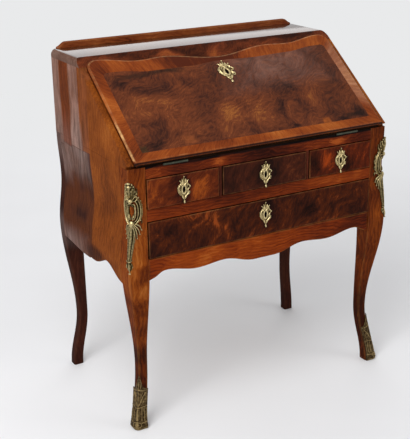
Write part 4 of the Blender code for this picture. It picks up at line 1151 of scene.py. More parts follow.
# Dark curls and eyes with golden clouds between them, with a pale painted reflection at the upper right and a
# painted shadow line under the band at the upper left
burr = veneer(
    "burr walnut veneer",
    ("#24120d", "#3f2015", "#582c19", "#6d381e", "#8f5426"),
    grain=(0, 0, math.radians(40)),
    origin=slope_origin,
    turn=slope_turn,
    ring=0.018,
    stretch=5,
    swirl=0.12,
    weights=(0.08, 0.34, 0.44),
    streak=0.0045,
    curl=0.12,
    patches=(
        ((-0.181, 0.166, 0), (0.075, 0.050, ALL), 0.12, 0.0),
        ((-0.050, 0.100, 0), (0.060, 0.070, ALL), 0.30, 0.0),
        ((-0.275, 0.135, 0), (0.060, 0.030, ALL), 0.26, 0.0),
        ((-0.254, 0.235, 0), (0.070, 0.030, ALL), -0.28, 0.1),
        ((-0.320, 0.270, 0), (0.035, 0.030, ALL), -0.32, 0.1),
        ((-0.310, 0.070, 0), (0.050, 0.040, ALL), -0.18, 0.1),
        ((-0.200, 0.075, 0), (0.080, 0.025, ALL), -0.08, 0.1),
        ((0.104, 0.093, 0), (0.025, 0.055, ALL), -0.34, 0.1),
        ((0.165, 0.167, 0), (0.045, 0.030, ALL), -0.24, 0.1),
        ((0.199, 0.110, 0), (0.045, 0.050, ALL), 0.20, 0.1),
        ((0.330, 0.061, 0), (0.030, 0.040, ALL), -0.30, 0.1),
        ((0.257, 0.045, 0), (0.040, 0.014, ALL), -0.28, 0.1),
        ((0.110, 0.046, 0), (0.018, 0.014, ALL), -0.45, 0.1),
        ((0.023, 0.085, 0), (0.035, 0.045, ALL), 0.16, 0.1),
        ((-0.120, 0.252, 0), (0.040, 0.040, ALL), -0.28, 0.1),
    ),
    inlays=(
        # Pale haze at the upper right: painted reflection
        ((0.15, 0.255, 0), (0.24, 0.11, ALL), "#7c6057", (0.24, 0.11, ALL), 0.46),
        # Dark line under the band at the upper left: painted shadow
        ((-0.22, 0.281, 0), (0.13, 0.012, ALL), "#1f1710", (0.08, 0.011, ALL), 0.85),
        ((-0.204, 0.046, 0), (0.022, 0.016, ALL), "#7d4220", (0.012, 0.008, ALL), 0.6),
        ((0.212, 0.038, 0), (0.013, 0.012, ALL), "#8f4a1d", (0.006, 0.006, ALL), 0.9),
        ((0.305, 0.046, 0), (0.055, 0.012, ALL), "#1d130e", (0.05, 0.010, ALL), 1.0),
        ((-0.345, 0.042, 0), (0.020, 0.016, ALL), "#2d2a17", (0.014, 0.010, ALL), 0.8),
    ),
    polish=0.15,
    rough=0.34,
)
# Orange-brown with the grain across the band, darkest under the keyhole's head, with a pale painted
# reflection down the right
band = veneer(
    "cross-banded walnut",
    ("#4a1d0c", "#763412", "#92491a", "#aa632b"),
    grain=(0, 0, math.radians(90)),
    ring=0.020,
    stretch=6,
    swirl=0.03,
    weights=(0.06, 0.30, 0.50),
    patches=(
        ((0.17, 0, 0), (0.14, ALL, ALL), 0.10, 0.5),
        ((1.09, 0, 0), (0.05, ALL, ALL), -0.24, 0.2),
        ((1.40, 0, 0), (0.12, ALL, ALL), -0.10, 0.5),
        ((0.80, 0, 0), (0.26, ALL, ALL), -0.40, 0.25),
        ((1.72, 0, 0), (0.40, ALL, ALL), -0.06, 0.8),
        ((1.86, 0, 0), (0.06, ALL, ALL), 0.22, 0.0),
    ),
    # Pale haze down the right: painted reflection
    inlays=(((0.19, 0, 0), (0.15, ALL, ALL), "#a58068", (0.06, ALL, ALL), 0.45),),
    rub="#c89a64",
    polish=0.15,
    uv="band",
)
# Nearly black and dull on the fall's foot by the hinges: dirt together with painted shadow under the lip
blackened = veneer(
    "walnut blackened by dirt and painted shadow",
    ("#0f0805", "#190f08", "#24160d", "#332114"),
    ring=0.008,
    polish=0.0,
    rough=0.6,
)


def lip_wear_and_shade(x, up, height):
    """How rubbed or darkened the lip is: near-black under its foot, dirt with painted shadow; dark down its
    sides and its right-hand rounding, painted shade with dirt; pale along its head and at the lower left,
    where hands take hold of it."""
    below = (FALL_THICKNESS - height) / LIP_EDGE
    side = abs(x) > LIP_HALF - LIP_EDGE
    if up < FALL_FOOT + LIP_EDGE:
        return -1.0 if below > 0.2 else 0.1
    if below > 0.7:
        return -0.75 * side
    if side and x > 0:
        return -0.85
    if side:
        return 1.0 if up < HELD_HEIGHT else 0.15
    return 0.3


lip = fall_outline(LIP_HALF, FALL_FOOT, LIP_CORNER, SLOPE_MARGINS, SLOPE_MARGINS)
field = fall_outline(FIELD_HALF, FIELD_FOOT, FIELD_CORNER, FIELD_MARGINS, FIELD_LEFT_MARGINS)
rings = []
worn = []
edge = [(0.0, LIP_BACK), (0.0, FALL_THICKNESS - LIP_EDGE)]
for k in range(1, ROUND_STEPS + 1):
    a = math.pi / 2 * k / ROUND_STEPS
    edge.append((LIP_EDGE * (1 - math.cos(a)), FALL_THICKNESS - LIP_EDGE * (1 - math.sin(a))))
for distance, height in edge:
    ring = inset(lip, distance)
    rings.append([on_slope(x, up, height) for x, up in ring])
    worn.append([lip_wear_and_shade(x, up, height) for x, up in ring])
edge.append((LIP_EDGE + RUB_REACH, FALL_THICKNESS))
for ring in (inset(lip, LIP_EDGE + RUB_REACH), field):
    rings.append([on_slope(x, up, FALL_THICKNESS) for x, up in ring])
    worn.append([0.0] * len(ring))
fall = skin("fall_board_veneered", rings, burr, worn)
also_finish(fall, band, bed_walnut, blackened)

# The band's own map runs round the lip and in from its edge, so that its grain always crosses it
count = len(lip)
running = [0.0]
for k in range(count):
    running.append(running[-1] + math.dist(lip[k], lip[(k + 1) % count]))
depths = [distance for distance, height in edge] + [FIELD_FOOT]
mapped = fall.data.uv_layers.new(name="band")
for polygon in fall.data.polygons:
    rows = {index // count for index in polygon.vertices}
    spots = {index % count for index in polygon.vertices}
    closing = 0 in spots and count - 1 in spots
    if len(rows) == 1:
        polygon.material_index = FIELD_SLOT if len(depths) - 1 in rows else BACK_SLOT
        continue
    polygon.material_index = BAND_SLOT
    for loop in polygon.loop_indices:
        row, spot = divmod(fall.data.loops[loop].vertex_index, count)
        run = running[count] if closing and spot == 0 else running[spot]
        mapped.data[loop].uv = (run, depths[row])


def slope_block(name, low, high, material):
    """A box in the slope's frame."""
    outline = [(low[0], low[1]), (high[0], low[1]), (high[0], high[1]), (low[0], high[1])]
    rings = [[on_slope(x, up, out) for x, up in outline] for out in (low[2], high[2])]
    return skin(name, rings, material, [[0.0] * 4] * 2)


lock_low, lock_high = slope_box("fall_lock_case")
body_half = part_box("cheek_right")[0].x - BODY_GAP
body_crown = (body_half, lock_high.y, LIP_BACK + BODY_OVERLAP)
body = slope_block("fall_body", (-body_half, FALL_FOOT, 0), body_crown, burr)
also_finish(body, band, bed_walnut, blackened)
# The body's foot under the lip takes the black of dirt and painted shadow
for polygon in body.data.polygons:
    polygon.material_index = FOOT_SLOT if polygon.normal.dot(up_slope) < FOOT_FACING else BACK_SLOT
work(fall, body, "UNION")
for node in ("fall_lock_case", "fall_leather", "hinge_left_fall_leaf", "hinge_right_fall_leaf"):
    low, high = slope_box(node)
    low -= Vector((SEAT, SEAT, 0))
    high += Vector((SEAT, SEAT, SEAT))
    low.z = -CUT
    if node == "fall_lock_case":
        high.y += CUT
    if node.startswith("hinge"):
        low.y = -CUT
    recess = slope_block("recess", low, high, burr)
    also_finish(recess, band, bed_walnut)
    for polygon in recess.data.polygons:
        polygon.material_index = BACK_SLOT
    work(fall, recess)
fall_keyhole = lock_low.y + FALL_KEYHOLE_RISE


def through_fall(u, v, end):
    """From the lock case out through the face."""
    return on_slope(u, fall_keyhole + v, lock_high.z - KEYHOLE_START + end * (FALL_THICKNESS + CUT))


cut_keyhole(fall, through_fall)
stand_for(fall, "walnut_burr", "fall_board")

# Leather
# The writing surface is a skin of green calf, pared thin at its edges and pasted into a recess in the fall.
# Gold leaf is tooled round it: two lines run with a wheel and a row of small lozenges struck between them.

GRAIN_SIZE = 0.0014
FADED_SIZE = 0.09
LEATHER_ROUND = 0.0006
LEATHER_PARING = 0.002
RUBBED_SIZE = 0.012
GOLD_LINE = 0.0009
LINE_INSETS = (0.010, 0.019)
STAMP_SPACING = 0.0075
STAMP_SIZE = 0.0022
LEAF_RISE = 0.00012

# Dull green with a fine pebbled grain, faded in clouds, a little glossy from wax
leather = mottled(
    "tooled calf leather",
    ("#26331f", "#4b5837"),
    {"IOR": 1.45, "Coat Weight": 0.12, "Coat Roughness": 0.3},
    spot=FADED_SIZE,
    detail=4.0,
    stops=(0.35, 0.95),
    rough=(0.36, 0.60),
    pebble=GRAIN_SIZE,
)
# Bright where the leaf is whole, brown where it is rubbed through
gold = mottled(
    "rubbed gold leaf",
    ("#6b5a2e", "#d2ae5c"),
    {"Metallic": 1.0},
    spot=RUBBED_SIZE,
    detail=5.0,
    stops=(0.38, 0.55),
    rough=(0.5, 0.25),
)

low, high = slope_box("fall_leather")
outline = [(low.x, low.y), (high.x, low.y), (high.x, high.y), (low.x, high.y)]
writing_skin = moulded(
    "fall_leather_tooled",
    outline,
    rounded_edge(high.z - low.z, LEATHER_ROUND, LEATHER_PARING),
    lambda u, v, height: on_slope(u, v, high.z - height),
    leather,
)
stand_for(writing_skin, "leather", "fall_leather")

tooling, given, made = add_tree("struck lozenges", ("Spacing", "Size", "Rise"))
path = add(tooling, "GeometryNodeMeshToCurve", {"Mesh": given["Geometry"]})
path = add(tooling, "GeometryNodeResampleCurve", {"Curve": path, "Length": given["Spacing"]}, mode="LENGTH")
shape = {"Radius": given["Size"], "Segments": 4, "Rings": 4}
stamp = add(tooling, "GeometryNodeMeshUVSphere", shape)
flat = add(tooling, "ShaderNodeMath", {0: given["Rise"], 1: given["Size"]}, operation="DIVIDE")
flat = add(tooling, "ShaderNodeCombineXYZ", {"X": 1.0, "Y": 0.6, "Z": flat})
stamp = add(tooling, "GeometryNodeTransform", {"Geometry": stamp, "Scale": flat})
heading = {"Vector": add(tooling, "GeometryNodeInputTangent")}
heading = add(tooling, "FunctionNodeAlignRotationToVector", heading, axis="X")
strew(tooling, made, {"Points": path, "Instance": stamp, "Rotation": heading}, gold)

seed = bpy.data.meshes.new("lozenge_path")
middle_line = inset(outline, sum(LINE_INSETS) / 2)
seed.from_pydata([(u, v, 0) for u, v in middle_line], [(0, 1), (1, 2), (2, 3), (3, 0)], [])
sizes = {"Spacing": STAMP_SPACING, "Size": STAMP_SIZE, "Rise": LEAF_RISE}
stamps = grow("leather_lozenges", seed, tooling, sizes)
stamps.data.transform(slope)
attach(stamps, "fall")
points = []
faces = []
for distance in LINE_INSETS:
    far_side = distance + GOLD_LINE
    start = len(points)
    for across, out in ((distance, 0), (distance, -LEAF_RISE), (far_side, -LEAF_RISE), (far_side, 0)):
        points += [on_slope(u, v, out) for u, v in inset(outline, across)]
    faces += wall(start, 4, len(outline), True)
lines = new_piece("leather_gold_lines", points, faces, gold)
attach(lines, "fall")

# Locks and hinges
# Each lock is a small iron box with a brass bolt, let in flush and held by four screws; the fall hangs on
# two brass butt hinges let into its foot and the top rail, three slotted screws to a leaf.

SCREW_RADIUS = 0.0026
SCREW_RISE = 0.0005
SCREW_SLOT = 0.0007
SCREW_SEED = 4
SCREW_MARGIN = 0.006
BOLT_EDGE = 0.0003
HINGE_EDGE = 0.0002
HINGE_SCREWS = 3
HINGE_SCREW_SHARE = 0.62


def metal(name, bright, dull, smooth, rough, patina, contrast=1.2, pits=0.0002):
    """Cast or filed metal: bright on what stands out, by the mesh's raised attribute, and dull in the
    hollows, with blotches of patina of a size and pits of a depth in metres."""
    material, tree, shader = new_finish(name, {"Metallic": 1.0})
    place = add(tree, "ShaderNodeTexCoord", output="Object")
    blotch = add(tree, "ShaderNodeTexNoise", {"Vector": place, "Scale": 1 / patina, "Detail": 5.0})
    raised = add(tree, "ShaderNodeAttribute", output="Fac", attribute_name="raised")
    raised = add(tree, "ShaderNodeMapRange", {"Value": raised, "From Min": 0.32, "From Max": 1.05})
    shine = {0: blotch, 1: contrast, 2: -contrast / 2}
    shine = add(tree, "ShaderNodeMath", shine, operation="MULTIPLY_ADD")
    shine = add(tree, "ShaderNodeMath", {0: shine, 1: raised}, operation="ADD", use_clamp=True)
    colours = {0: shine, 6: linear(dull), 7: linear(bright)}
    colour = add(tree, "ShaderNodeMix", colours, 2, data_type="RGBA")
    tree.links.new(colour, shader.inputs["Base Color"])
    gloss = add(tree, "ShaderNodeMapRange", {"Value": shine, "To Min": rough, "To Max": smooth})
    tree.links.new(gloss, shader.inputs["Roughness"])
    bump = add(tree, "ShaderNodeBump", {"Height": blotch, "Strength": 0.6, "Distance": pits})
    tree.links.new(bump, shader.inputs["Normal"])
    return material


# Grey, dark in blotches, with a low sheen
iron = metal("filed wrought iron", "#6d675f", "#37322d", smooth=0.38, rough=0.60, patina=0.008)
# Warm yellow, browned by handling
brass = metal("old brass", "#c4a566", "#7d6738", smooth=0.28, rough=0.48, patina=0.012)
# Grey-green and dull, never polished since it was let in
hinge_brass = metal("tarnished hinge brass", "#7b7c6b", "#4b4d41", smooth=0.40, rough=0.58, patina=0.010)
fasteners, given, made = add_tree("slotted screws", ("Radius", "Rise", "Slot"))
head = add(fasteners, "GeometryNodeMeshUVSphere", {"Radius": given["Radius"], "Segments": 20, "Rings": 10})
flat = add(fasteners, "ShaderNodeMath", {0: given["Rise"], 1: given["Radius"]}, operation="DIVIDE")
flat = add(fasteners, "ShaderNodeCombineXYZ", {"X": 1.0, "Y": 1.0, "Z": flat})
head = add(fasteners, "GeometryNodeTransform", {"Geometry": head, "Scale": flat})
long = add(fasteners, "ShaderNodeMath", {0: given["Radius"], 1: 3.0}, operation="MULTIPLY")
size = add(fasteners, "ShaderNodeCombineXYZ", {"X": long, "Y": given["Slot"], "Z": given["Rise"]})
slot = add(fasteners, "GeometryNodeMeshCube", {"Size": size})
lift = add(fasteners, "ShaderNodeCombineXYZ", {"Z": given["Rise"]})
slot = add(fasteners, "GeometryNodeTransform", {"Geometry": slot, "Translation": lift})
head = add(fasteners, "GeometryNodeMeshBoolean", {"Mesh 1": head, "Mesh 2": slot}, operation="DIFFERENCE")
facing = add(fasteners, "GeometryNodeInputNamedAttribute", {"Name": "facing"}, data_type="FLOAT_VECTOR")
facing = add(fasteners, "FunctionNodeAlignRotationToVector", {"Vector": facing}, axis="Z")
turned = add(fasteners, "FunctionNodeRandomValue", {2: 0.0, 3: math.pi, "Seed": SCREW_SEED}, 1)
turned = add(fasteners, "FunctionNodeAxisAngleToRotation", {"Axis": (0, 0, 1), "Angle": turned})
turned = {"Rotation": facing, "Rotate By": turned}
turned = add(fasteners, "FunctionNodeRotateRotation", turned, rotation_space="LOCAL")
strew(fasteners, made, {"Points": given["Geometry"], "Instance": head, "Rotation": turned}, brass)


def drive_screws(name, places, facing, body):
    """Slotted screw heads at places, all facing one way, on a body."""
    seed = bpy.data.meshes.new(name)
    seed.from_pydata(places, [], [])
    way = seed.attributes.new("facing", "FLOAT_VECTOR", "POINT")
    way.data.foreach_set("vector", [part for place in places for part in facing])
    sizes = {"Radius": SCREW_RADIUS, "Rise": SCREW_RISE, "Slot": SCREW_SLOT}
    piece = grow(name, seed, fasteners, sizes)
    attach(piece, body)


for lock in DRAWERS + ("fall",):
    case = f"{lock}_lock_case"
    eased(case, iron, "iron")
    eased(f"{lock}_lock_bolt", brass, "brass", BOLT_EDGE)
    low, high = slope_box(case) if lock == "fall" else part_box(case)
    sides = (low.x + SCREW_MARGIN, high.x - SCREW_MARGIN)
    if lock == "fall":
        ups = (low.y + SCREW_MARGIN, high.y - SCREW_MARGIN)
        places = [on_slope(x, up, low.z) for x in sides for up in ups]
        facing = into_desk
    else:
        ups = (low.z + SCREW_MARGIN, high.z - SCREW_MARGIN)
        places = [(x, high.y, up) for x in sides for up in ups]
        facing = (0, 1, 0)
    drive_screws(f"{lock}_lock_screws", places, facing, lock)

for word in ("left", "right"):
    eased(f"hinge_{word}_case_leaf", hinge_brass, "brass", HINGE_EDGE)
    eased(f"hinge_{word}_fall_leaf", hinge_brass, "brass", HINGE_EDGE)
    low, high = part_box(f"hinge_{word}_case_leaf")
    rows = spread(low.x + SCREW_MARGIN, high.x - SCREW_MARGIN, HINGE_SCREWS)
    reach = HINGE_SCREW_SHARE * (high.y - hinge_y)
    places = [(x, hinge_y + reach, hinge_z - SEAT) for x in rows]
    drive_screws(f"hinge_{word}_case_screws", places, (0, 0, 1), "case")
    places = [on_slope(x, reach, 0) for x in rows]
    drive_screws(f"hinge_{word}_fall_screws", places, into_desk, "fall")

# Nest of pigeonholes
# Behind the fall stands a nest of thin fruitwood boards halved together, with two small drawers, each
# pulled by a turned brass knob whose spigot goes through the front.

# Share of the knob's length from its foot, and share of its girth there
KNOB_FOOT = ((0.0, 0.72), (0.08, 0.76), (0.14, 0.60), (0.30, 0.42), (0.42, 0.50))
KNOB_HEAD = ((0.60, 0.90), (0.74, 1.0), (0.86, 0.90), (0.95, 0.60), (1.0, 0.20))
KNOB_LEVELS = 40
KNOB_SIDES = 32
KNOB_GLEAM = 0.7
NEST_TONES = ("#4a2410", "#71401b", "#8b5829", "#a3743f")

# Clean light brown with a wax sheen, kept from the light by the fall
nest_wood = veneer("waxed fruitwood", NEST_TONES, ring=0.009, polish=0.1)
nest_upright_wood = veneer("waxed fruitwood upright", NEST_TONES, grain=UPRIGHT, ring=0.009, polish=0.1)
eased("nest_shelf", nest_wood, "fruitwood")
for word in ("left", "right"):
    eased(f"nest_upright_{word}", nest_upright_wood, "fruitwood")
    eased(f"inner_drawer_{word}", nest_wood, "fruitwood")
    node = f"inner_knob_{word}"
    low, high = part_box(node)
    middle = (low + high) / 2
    girth = (high.x - low.x) / 2
    rings = []
    worn = []
    for share in spread(0, 1, KNOB_LEVELS):
        radius = girth * flow(KNOB_FOOT + KNOB_HEAD, share)
        turns = [2 * math.pi * k / KNOB_SIDES for k in range(KNOB_SIDES)]
        y = high.y + (low.y - high.y) * share
        rings.append([(middle.x + radius * math.cos(a), y, middle.z + radius * math.sin(a)) for a in turns])
        worn.append([0.0] * KNOB_SIDES)
    knob = skin(f"{node}_turned", rings, brass, worn)
    raised = knob.data.attributes.new("raised", "FLOAT", "POINT")
    raised.data.foreach_set("value", [KNOB_GLEAM] * len(knob.data.vertices))
    stand_for(knob, "brass", node)

# Keyhole plates
# Five pierced rococo plates of gilt bronze, cast thin, chased and pinned on: a bezel round the keyhole,
# uneven C-scrolls each side, a leafy crown and a pendant drop.

MM = 0.001
SINK = 0.0004
PATH_STEPS = 6
OVAL_POINTS = 36
BEAD_SIDES = 10
# Share of a stroke's relief that is left where it thins out
STROKE_LEAST = 0.45
# Sections of a stroke, as shares of its half width and of its relief
REED = ((-1, 0.1), (-0.8, 0.60), (-0.4, 0.93), (0, 1), (0.4, 0.93), (0.8, 0.60), (1, 0.1))
FLUTED = ((-1, 0.2), (-0.85, 0.85), (-0.55, 1), (0, 0.55), (0.55, 1), (0.85, 0.85), (1, 0.2))
GROUND = ((-1, 0.08), (-0.92, 0.26), (-0.4, 0.30), (0.4, 0.30), (0.92, 0.26), (1, 0.08))
LEAF = ((-1, 0.25), (-0.6, 0.42), (-0.2, 0.62), (0, 1), (0.2, 0.62), (0.6, 0.42), (1, 0.25))
PLATE_WIDTH = 0.0385
PLATE_HEIGHT = 0.0753
PLATE_GROUND = 0.0012
# Half width, half height and middle of the bezel round the keyhole and of the ground that it lies on
BEZEL = (0.0058, 0.0110, -0.0025)
BEZEL_GROUND = (0.0102, 0.0145, -0.0020)
BEZEL_WIDTHS = (2.4, 2.4, 2.4)
BEZEL_RELIEF = 2.0
GROUND_RELIEF = 0.8
GROUND_GLEAM = 0.45
# Path, half widths, relief and section of each stroke, in millimetres from the keyhole
PLATE_STROKES = (
    (
        ((-2, 16), (-9, 14.5), (-15, 8), (-16.5, 0), (-14, -9), (-8, -16), (-2.5, -22)),
        (1.0, 2.8, 1.2),
        3.0,
        FLUTED,
    ),
    (((-3, 15), (-6, 12), (-9.5, 9), (-9.5, 5.5)), (1.6, 1.6, 0.8), 2.6, REED),
    (((-13, -3), (-9.5, -6.5), (-9.5, -10), (-6, -13)), (0.8, 1.5, 0.9), 2.4, REED),
    (((2, 16), (7, 15), (10.5, 11), (10, 7)), (1.0, 2.2, 1.2), 3.0, FLUTED),
    (((9, 10), (13, 9), (16.5, 5), (15.5, 2)), (1.0, 1.9, 1.5), 3.2, REED),
    (((16, 1), (11.5, -1), (9.5, -6), (11, -11), (7, -16.5), (2.5, -22)), (1.2, 2.5, 1.2), 3.0, FLUTED),
    (((12, -8), (15, -10), (15.5, -13.5), (13, -15)), (0.7, 1.4, 0.8), 2.2, REED),
    (((0, 9), (-5, 15), (-8.5, 18), (-11, 22)), (1.6, 3.2, 0.9), 2.8, FLUTED),
    (((0, 9), (5, 15), (8, 17.5), (10, 21)), (1.6, 3.2, 0.9), 2.8, FLUTED),
    (((0, 10), (-3.2, 17), (-5, 22), (-5.5, 27)), (1.6, 2.8, 0.9), 3.0, REED),
    (((0, 10), (3.2, 17), (4.8, 22), (5, 26)), (1.6, 2.8, 0.9), 3.0, REED),
    (((0, 12), (0.2, 19), (0, 25), (0, 30)), (1.8, 3.0, 1.2), 3.4, LEAF),
    (((-5, -16), (-4, -22), (-1.2, -28)), (1.2, 2.6, 1.0), 2.8, REED),
    (((5, -16), (4, -22), (1.2, -28)), (1.2, 2.6, 1.0), 2.8, REED),
    (((0, -14), (0, -21), (0, -28)), (1.6, 2.0, 1.0), 2.4, LEAF),
    (((0, -29), (0, -33.5), (0, -37.5)), (0.8, 2.6, 0.9), 3.2, REED),
)
# How coarse the surface of a casting is where it has been chased
CHASED = {"patina": 0.0040, "contrast": 1.4, "pits": 0.0004}
# Place and radius of each bead, from the crown down
CROWN_BEADS = ((0, 31.5, 1.7), (-12.5, 22.5, 1.5), (11.5, 21.5, 1.5))
SCROLL_BEADS = ((-18, 4, 1.6), (-17.5, -4, 1.5), (17.5, 4.5, 1.7), (15, -9, 1.5), (-11, -14.5, 1.5))
DROP_BEADS = ((13.5, -15.5, 1.4), (-6, -21, 1.4), (6, -20.5, 1.4), (0, -36, 2.4))

# Yellow and bright on what stands out, brown in the hollows
gilt = metal("chased gilt bronze", "#dac693", "#4a3a1a", smooth=0.26, rough=0.55, **CHASED)


def curve(points):
    """A smooth path through points given in millimetres, in metres."""
    places = range(len(points))
    across = [(k, points[k][0] * MM) for k in places]
    up = [(k, points[k][1] * MM) for k in places]
    steps = spread(0, len(points) - 1, (len(points) - 1) * PATH_STEPS + 1)
    return [(flow(across, step), flow(up, step)) for step in steps]


def oval(half_width, half_height, middle):
    """A closed oval path, in metres."""
    turns = [2 * math.pi * k / OVAL_POINTS for k in range(OVAL_POINTS)]
    return [(half_width * math.cos(a), middle + half_height * math.sin(a)) for a in turns]


def chase(casting, path, widths, relief, section, wrap, closed=False, gleam=1.0):
    """Adds a raised stroke to a casting: half widths (start, middle, end) along a path, and its relief, with
    a section of (across, lift) shares. Wrap lays (u, v, lift) on the wood, and gleam is how bright its
    crest is."""
    points, faces, raised = casting
    count = len(section) + 2
    stations = [(0, widths[0]), (0.5, widths[1]), (1, widths[2])]
    first = len(points)
    last = len(path) - 1
    for k, (u, v) in enumerate(path):
        behind = path[k - 1] if closed else path[max(k - 1, 0)]
        ahead = path[(k + 1) % len(path)] if closed else path[min(k + 1, last)]
        run = Vector((ahead[0] - behind[0], ahead[1] - behind[1])).normalized()
        width = MM * swing(stations, k / last)
        fullness = width / (MM * max(widths))
        rise = MM * relief * (STROKE_LEAST + (1 - STROKE_LEAST) * fullness)
        for share, lift in section:
            points.append(wrap(u - run.y * share * width, v + run.x * share * width, lift * rise))
            raised.append(lift * gleam)
        for share in (1, -1):
            points.append(wrap(u - run.y * share * width, v + run.x * share * width, -SINK))
            raised.append(0.0)
    faces += wall(first, len(path), count, closed)
    if not closed:
        faces.append(tuple(range(first, first + count)))
        faces.append(tuple(range(first + last * count, first + (last + 1) * count)))


def bead(casting, u, v, radius, wrap):
    """Adds a small dome to a casting, its sizes in millimetres."""
    points, faces, raised = casting
    first = len(points)
    turns = [2 * math.pi * k / BEAD_SIDES for k in range(BEAD_SIDES)]
    levels = ((1.0, -SINK), (1.0, 0.35 * radius * MM), (0.72, 0.8 * radius * MM), (0.3, radius * MM))
    for share, lift in levels:
        reach = share * radius
        for a in turns:
            points.append(wrap(MM * (u + reach * math.cos(a)), MM * (v + reach * math.sin(a)), lift))
            raised.append(1.1 - 0.4 * share if lift > 0 else 0.0)
    faces.append(tuple(range(first, first + BEAD_SIDES)))
    faces += wall(first, len(levels), BEAD_SIDES)
    last = first + (len(levels) - 1) * BEAD_SIDES
    faces.append(tuple(range(last, last + BEAD_SIDES)))


def cast(name, casting, material, slot, node):
    """Turns a casting into a piece in place of its solid."""
    points, faces, raised = casting
    stand_for(new_piece(name, points, faces, material, {"raised": raised}), slot, node)


def chase_plate(wrap):
    """A keyhole plate, its strokes laid on a pierced bezel with the keyhole left open."""
    casting = ([], [], [])
    chase(casting, oval(*BEZEL), BEZEL_WIDTHS, BEZEL_RELIEF, REED, wrap, True)
    chase(casting, oval(*BEZEL_GROUND), BEZEL_WIDTHS, GROUND_RELIEF, REED, wrap, True, GROUND_GLEAM)
    for points, widths, relief, section in PLATE_STROKES:
        chase(casting, curve(points), widths, relief, section, wrap)
    for u, v, radius in CROWN_BEADS + SCROLL_BEADS + DROP_BEADS:
        bead(casting, u, v, radius, lambda across, up, lift: wrap(across, up, lift + PLATE_GROUND))
    return casting


for drawer in DRAWERS:
    node = f"{drawer}_escutcheon"
    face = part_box(node)[1].y
    middle = keyholes[drawer]
    casting = chase_plate(lambda u, v, lift: (middle.x + u, face - lift, middle.z + v))
    cast(f"{node}_chased", casting, gilt, "gilt_bronze", node)
low, high = slope_box("fall_escutcheon")
wide = (high.x - low.x) / PLATE_WIDTH
tall = (high.y - low.y) / PLATE_HEIGHT
casting = chase_plate(lambda u, v, lift: on_slope(wide * u, fall_keyhole + tall * v, low.z + lift))
cast("fall_escutcheon_chased", casting, gilt, "gilt_bronze", "fall_escutcheon")

# Corner mounts
# A cast and chased mount of gilt bronze is pinned round the arris of each front post: a bud over acanthus,
# a pierced cartouche of C-scrolls that shows the wood, leaf sprays, and a long reeded tail with an end bud.

MOUNT_ROUND = 0.004
MOUNT_SEAT = 0.0009
CHUTE_SIDE_SHARE = 0.80
CHUTE_GROUND = 0.0030
# Path, half widths, relief and section of each stroke, down from the mount's top and out from its arris
CHUTE_PAIRS = (
    (
        ((2, 43), (10, 45), (17, 53), (20, 66), (19.5, 82), (16, 97), (9, 107), (2, 111)),
        (3.0, 5.4, 3.0),
        7,
        GROUND,
    ),
    (((0, 48), (5, 36), (7, 22), (4, 9)), (4.0, 7.5, 3.0), 7, GROUND),
    (
        ((3, 47), (9, 42), (17, 45), (23, 55), (25, 72), (23, 90), (16, 103), (7, 111), (3, 108)),
        (1.4, 3.6, 1.4),
        7,
        FLUTED,
    ),
    (((2, 58), (6, 58), (8.5, 64), (9, 76), (8, 89), (5, 96), (1.5, 98)), (1.2, 2.4, 1.2), 5, REED),
    (((3, 51), (9, 51), (14, 58), (16, 74), (14.5, 90), (9.5, 101), (3, 104.5)), (1.0, 2.0, 1.0), 6, REED),
    (((2, 46), (11, 40), (18, 31), (20, 19)), (1.6, 3.8, 0.8), 5.5, LEAF),
    (((1.5, 44), (8, 32), (13, 21), (13, 9)), (1.5, 3.6, 0.7), 6, LEAF),
    (((1, 41), (4.5, 28), (6.5, 16), (6, 4)), (1.2, 2.8, 0.6), 6.5, LEAF),
    (((4, 50), (11, 49), (16, 43), (14, 38), (10.5, 40)), (1.0, 2.0, 0.8), 7, REED),
    (((18, 48), (24, 50), (27, 56), (26, 61)), (0.6, 1.8, 0.5), 5, LEAF),
    (((22, 60), (27, 64), (28.5, 71), (26.5, 76)), (0.6, 1.8, 0.6), 5, LEAF),
    (((23, 78), (27, 82), (28, 88), (25.5, 93)), (0.6, 1.8, 0.6), 5, LEAF),
    (((18, 97), (24, 100), (27, 106), (25, 112)), (0.6, 1.9, 0.6), 5, LEAF),
    (((3, 109), (12, 112), (20, 118), (25, 128)), (1.4, 2.6, 1.3), 5.5, REED),
    (((2.5, 111), (10, 118), (17, 127), (21, 139)), (1.4, 2.6, 1.3), 5.5, REED),
    (((2, 114), (8, 123), (12.5, 135), (15, 149)), (1.4, 2.4, 1.2), 5, REED),
    (((1.5, 117), (5, 129), (8, 143), (9.5, 159)), (1.2, 2.2, 0.8), 4.5, REED),
    (((0.5, 97), (3, 92), (5.5, 87), (7.5, 80)), (1.4, 2.6, 0.8), 5, LEAF),
    (((0.5, 58), (3, 62), (6, 65), (8, 70)), (1.4, 2.2, 0.8), 5, LEAF),
    (((4, 120), (5, 145), (4.2, 172), (2.6, 204)), (1.4, 2.2, 1.1), 4.2, REED),
    (((8.2, 146), (7.8, 162), (6.2, 182), (4.4, 202)), (0.6, 1.4, 0.7), 3, REED),
    (((1.5, 210), (5.5, 214), (6.5, 221), (3.5, 229)), (0.8, 1.9, 0.5), 4, LEAF),
)
BUD_BEADS = ((0, 4, 3.0), (6, 7, 2.4), (9.5, 13, 2.4), (7, 19.5, 2.4), (0, 12.5, 3.4), (3, 24, 2.0))
LEAF_BEADS = ((12.5, 26, 2.4), (16, 33, 2.2), (9.5, 36, 2.2), (20, 42, 2.2))
RIM_BEADS = (
    *((25.5, 52, 2.0), (27.5, 62, 1.9), (28, 72, 1.9)),
    *((27.5, 82, 1.9), (25.5, 92, 2.0), (21.5, 102, 2.2)),
)
SPRAY_BEADS = ((25.5, 128, 1.8), (21.5, 139, 1.8), (15.5, 149, 1.6), (6.5, 222, 1.6), (0, 238, 1.8))
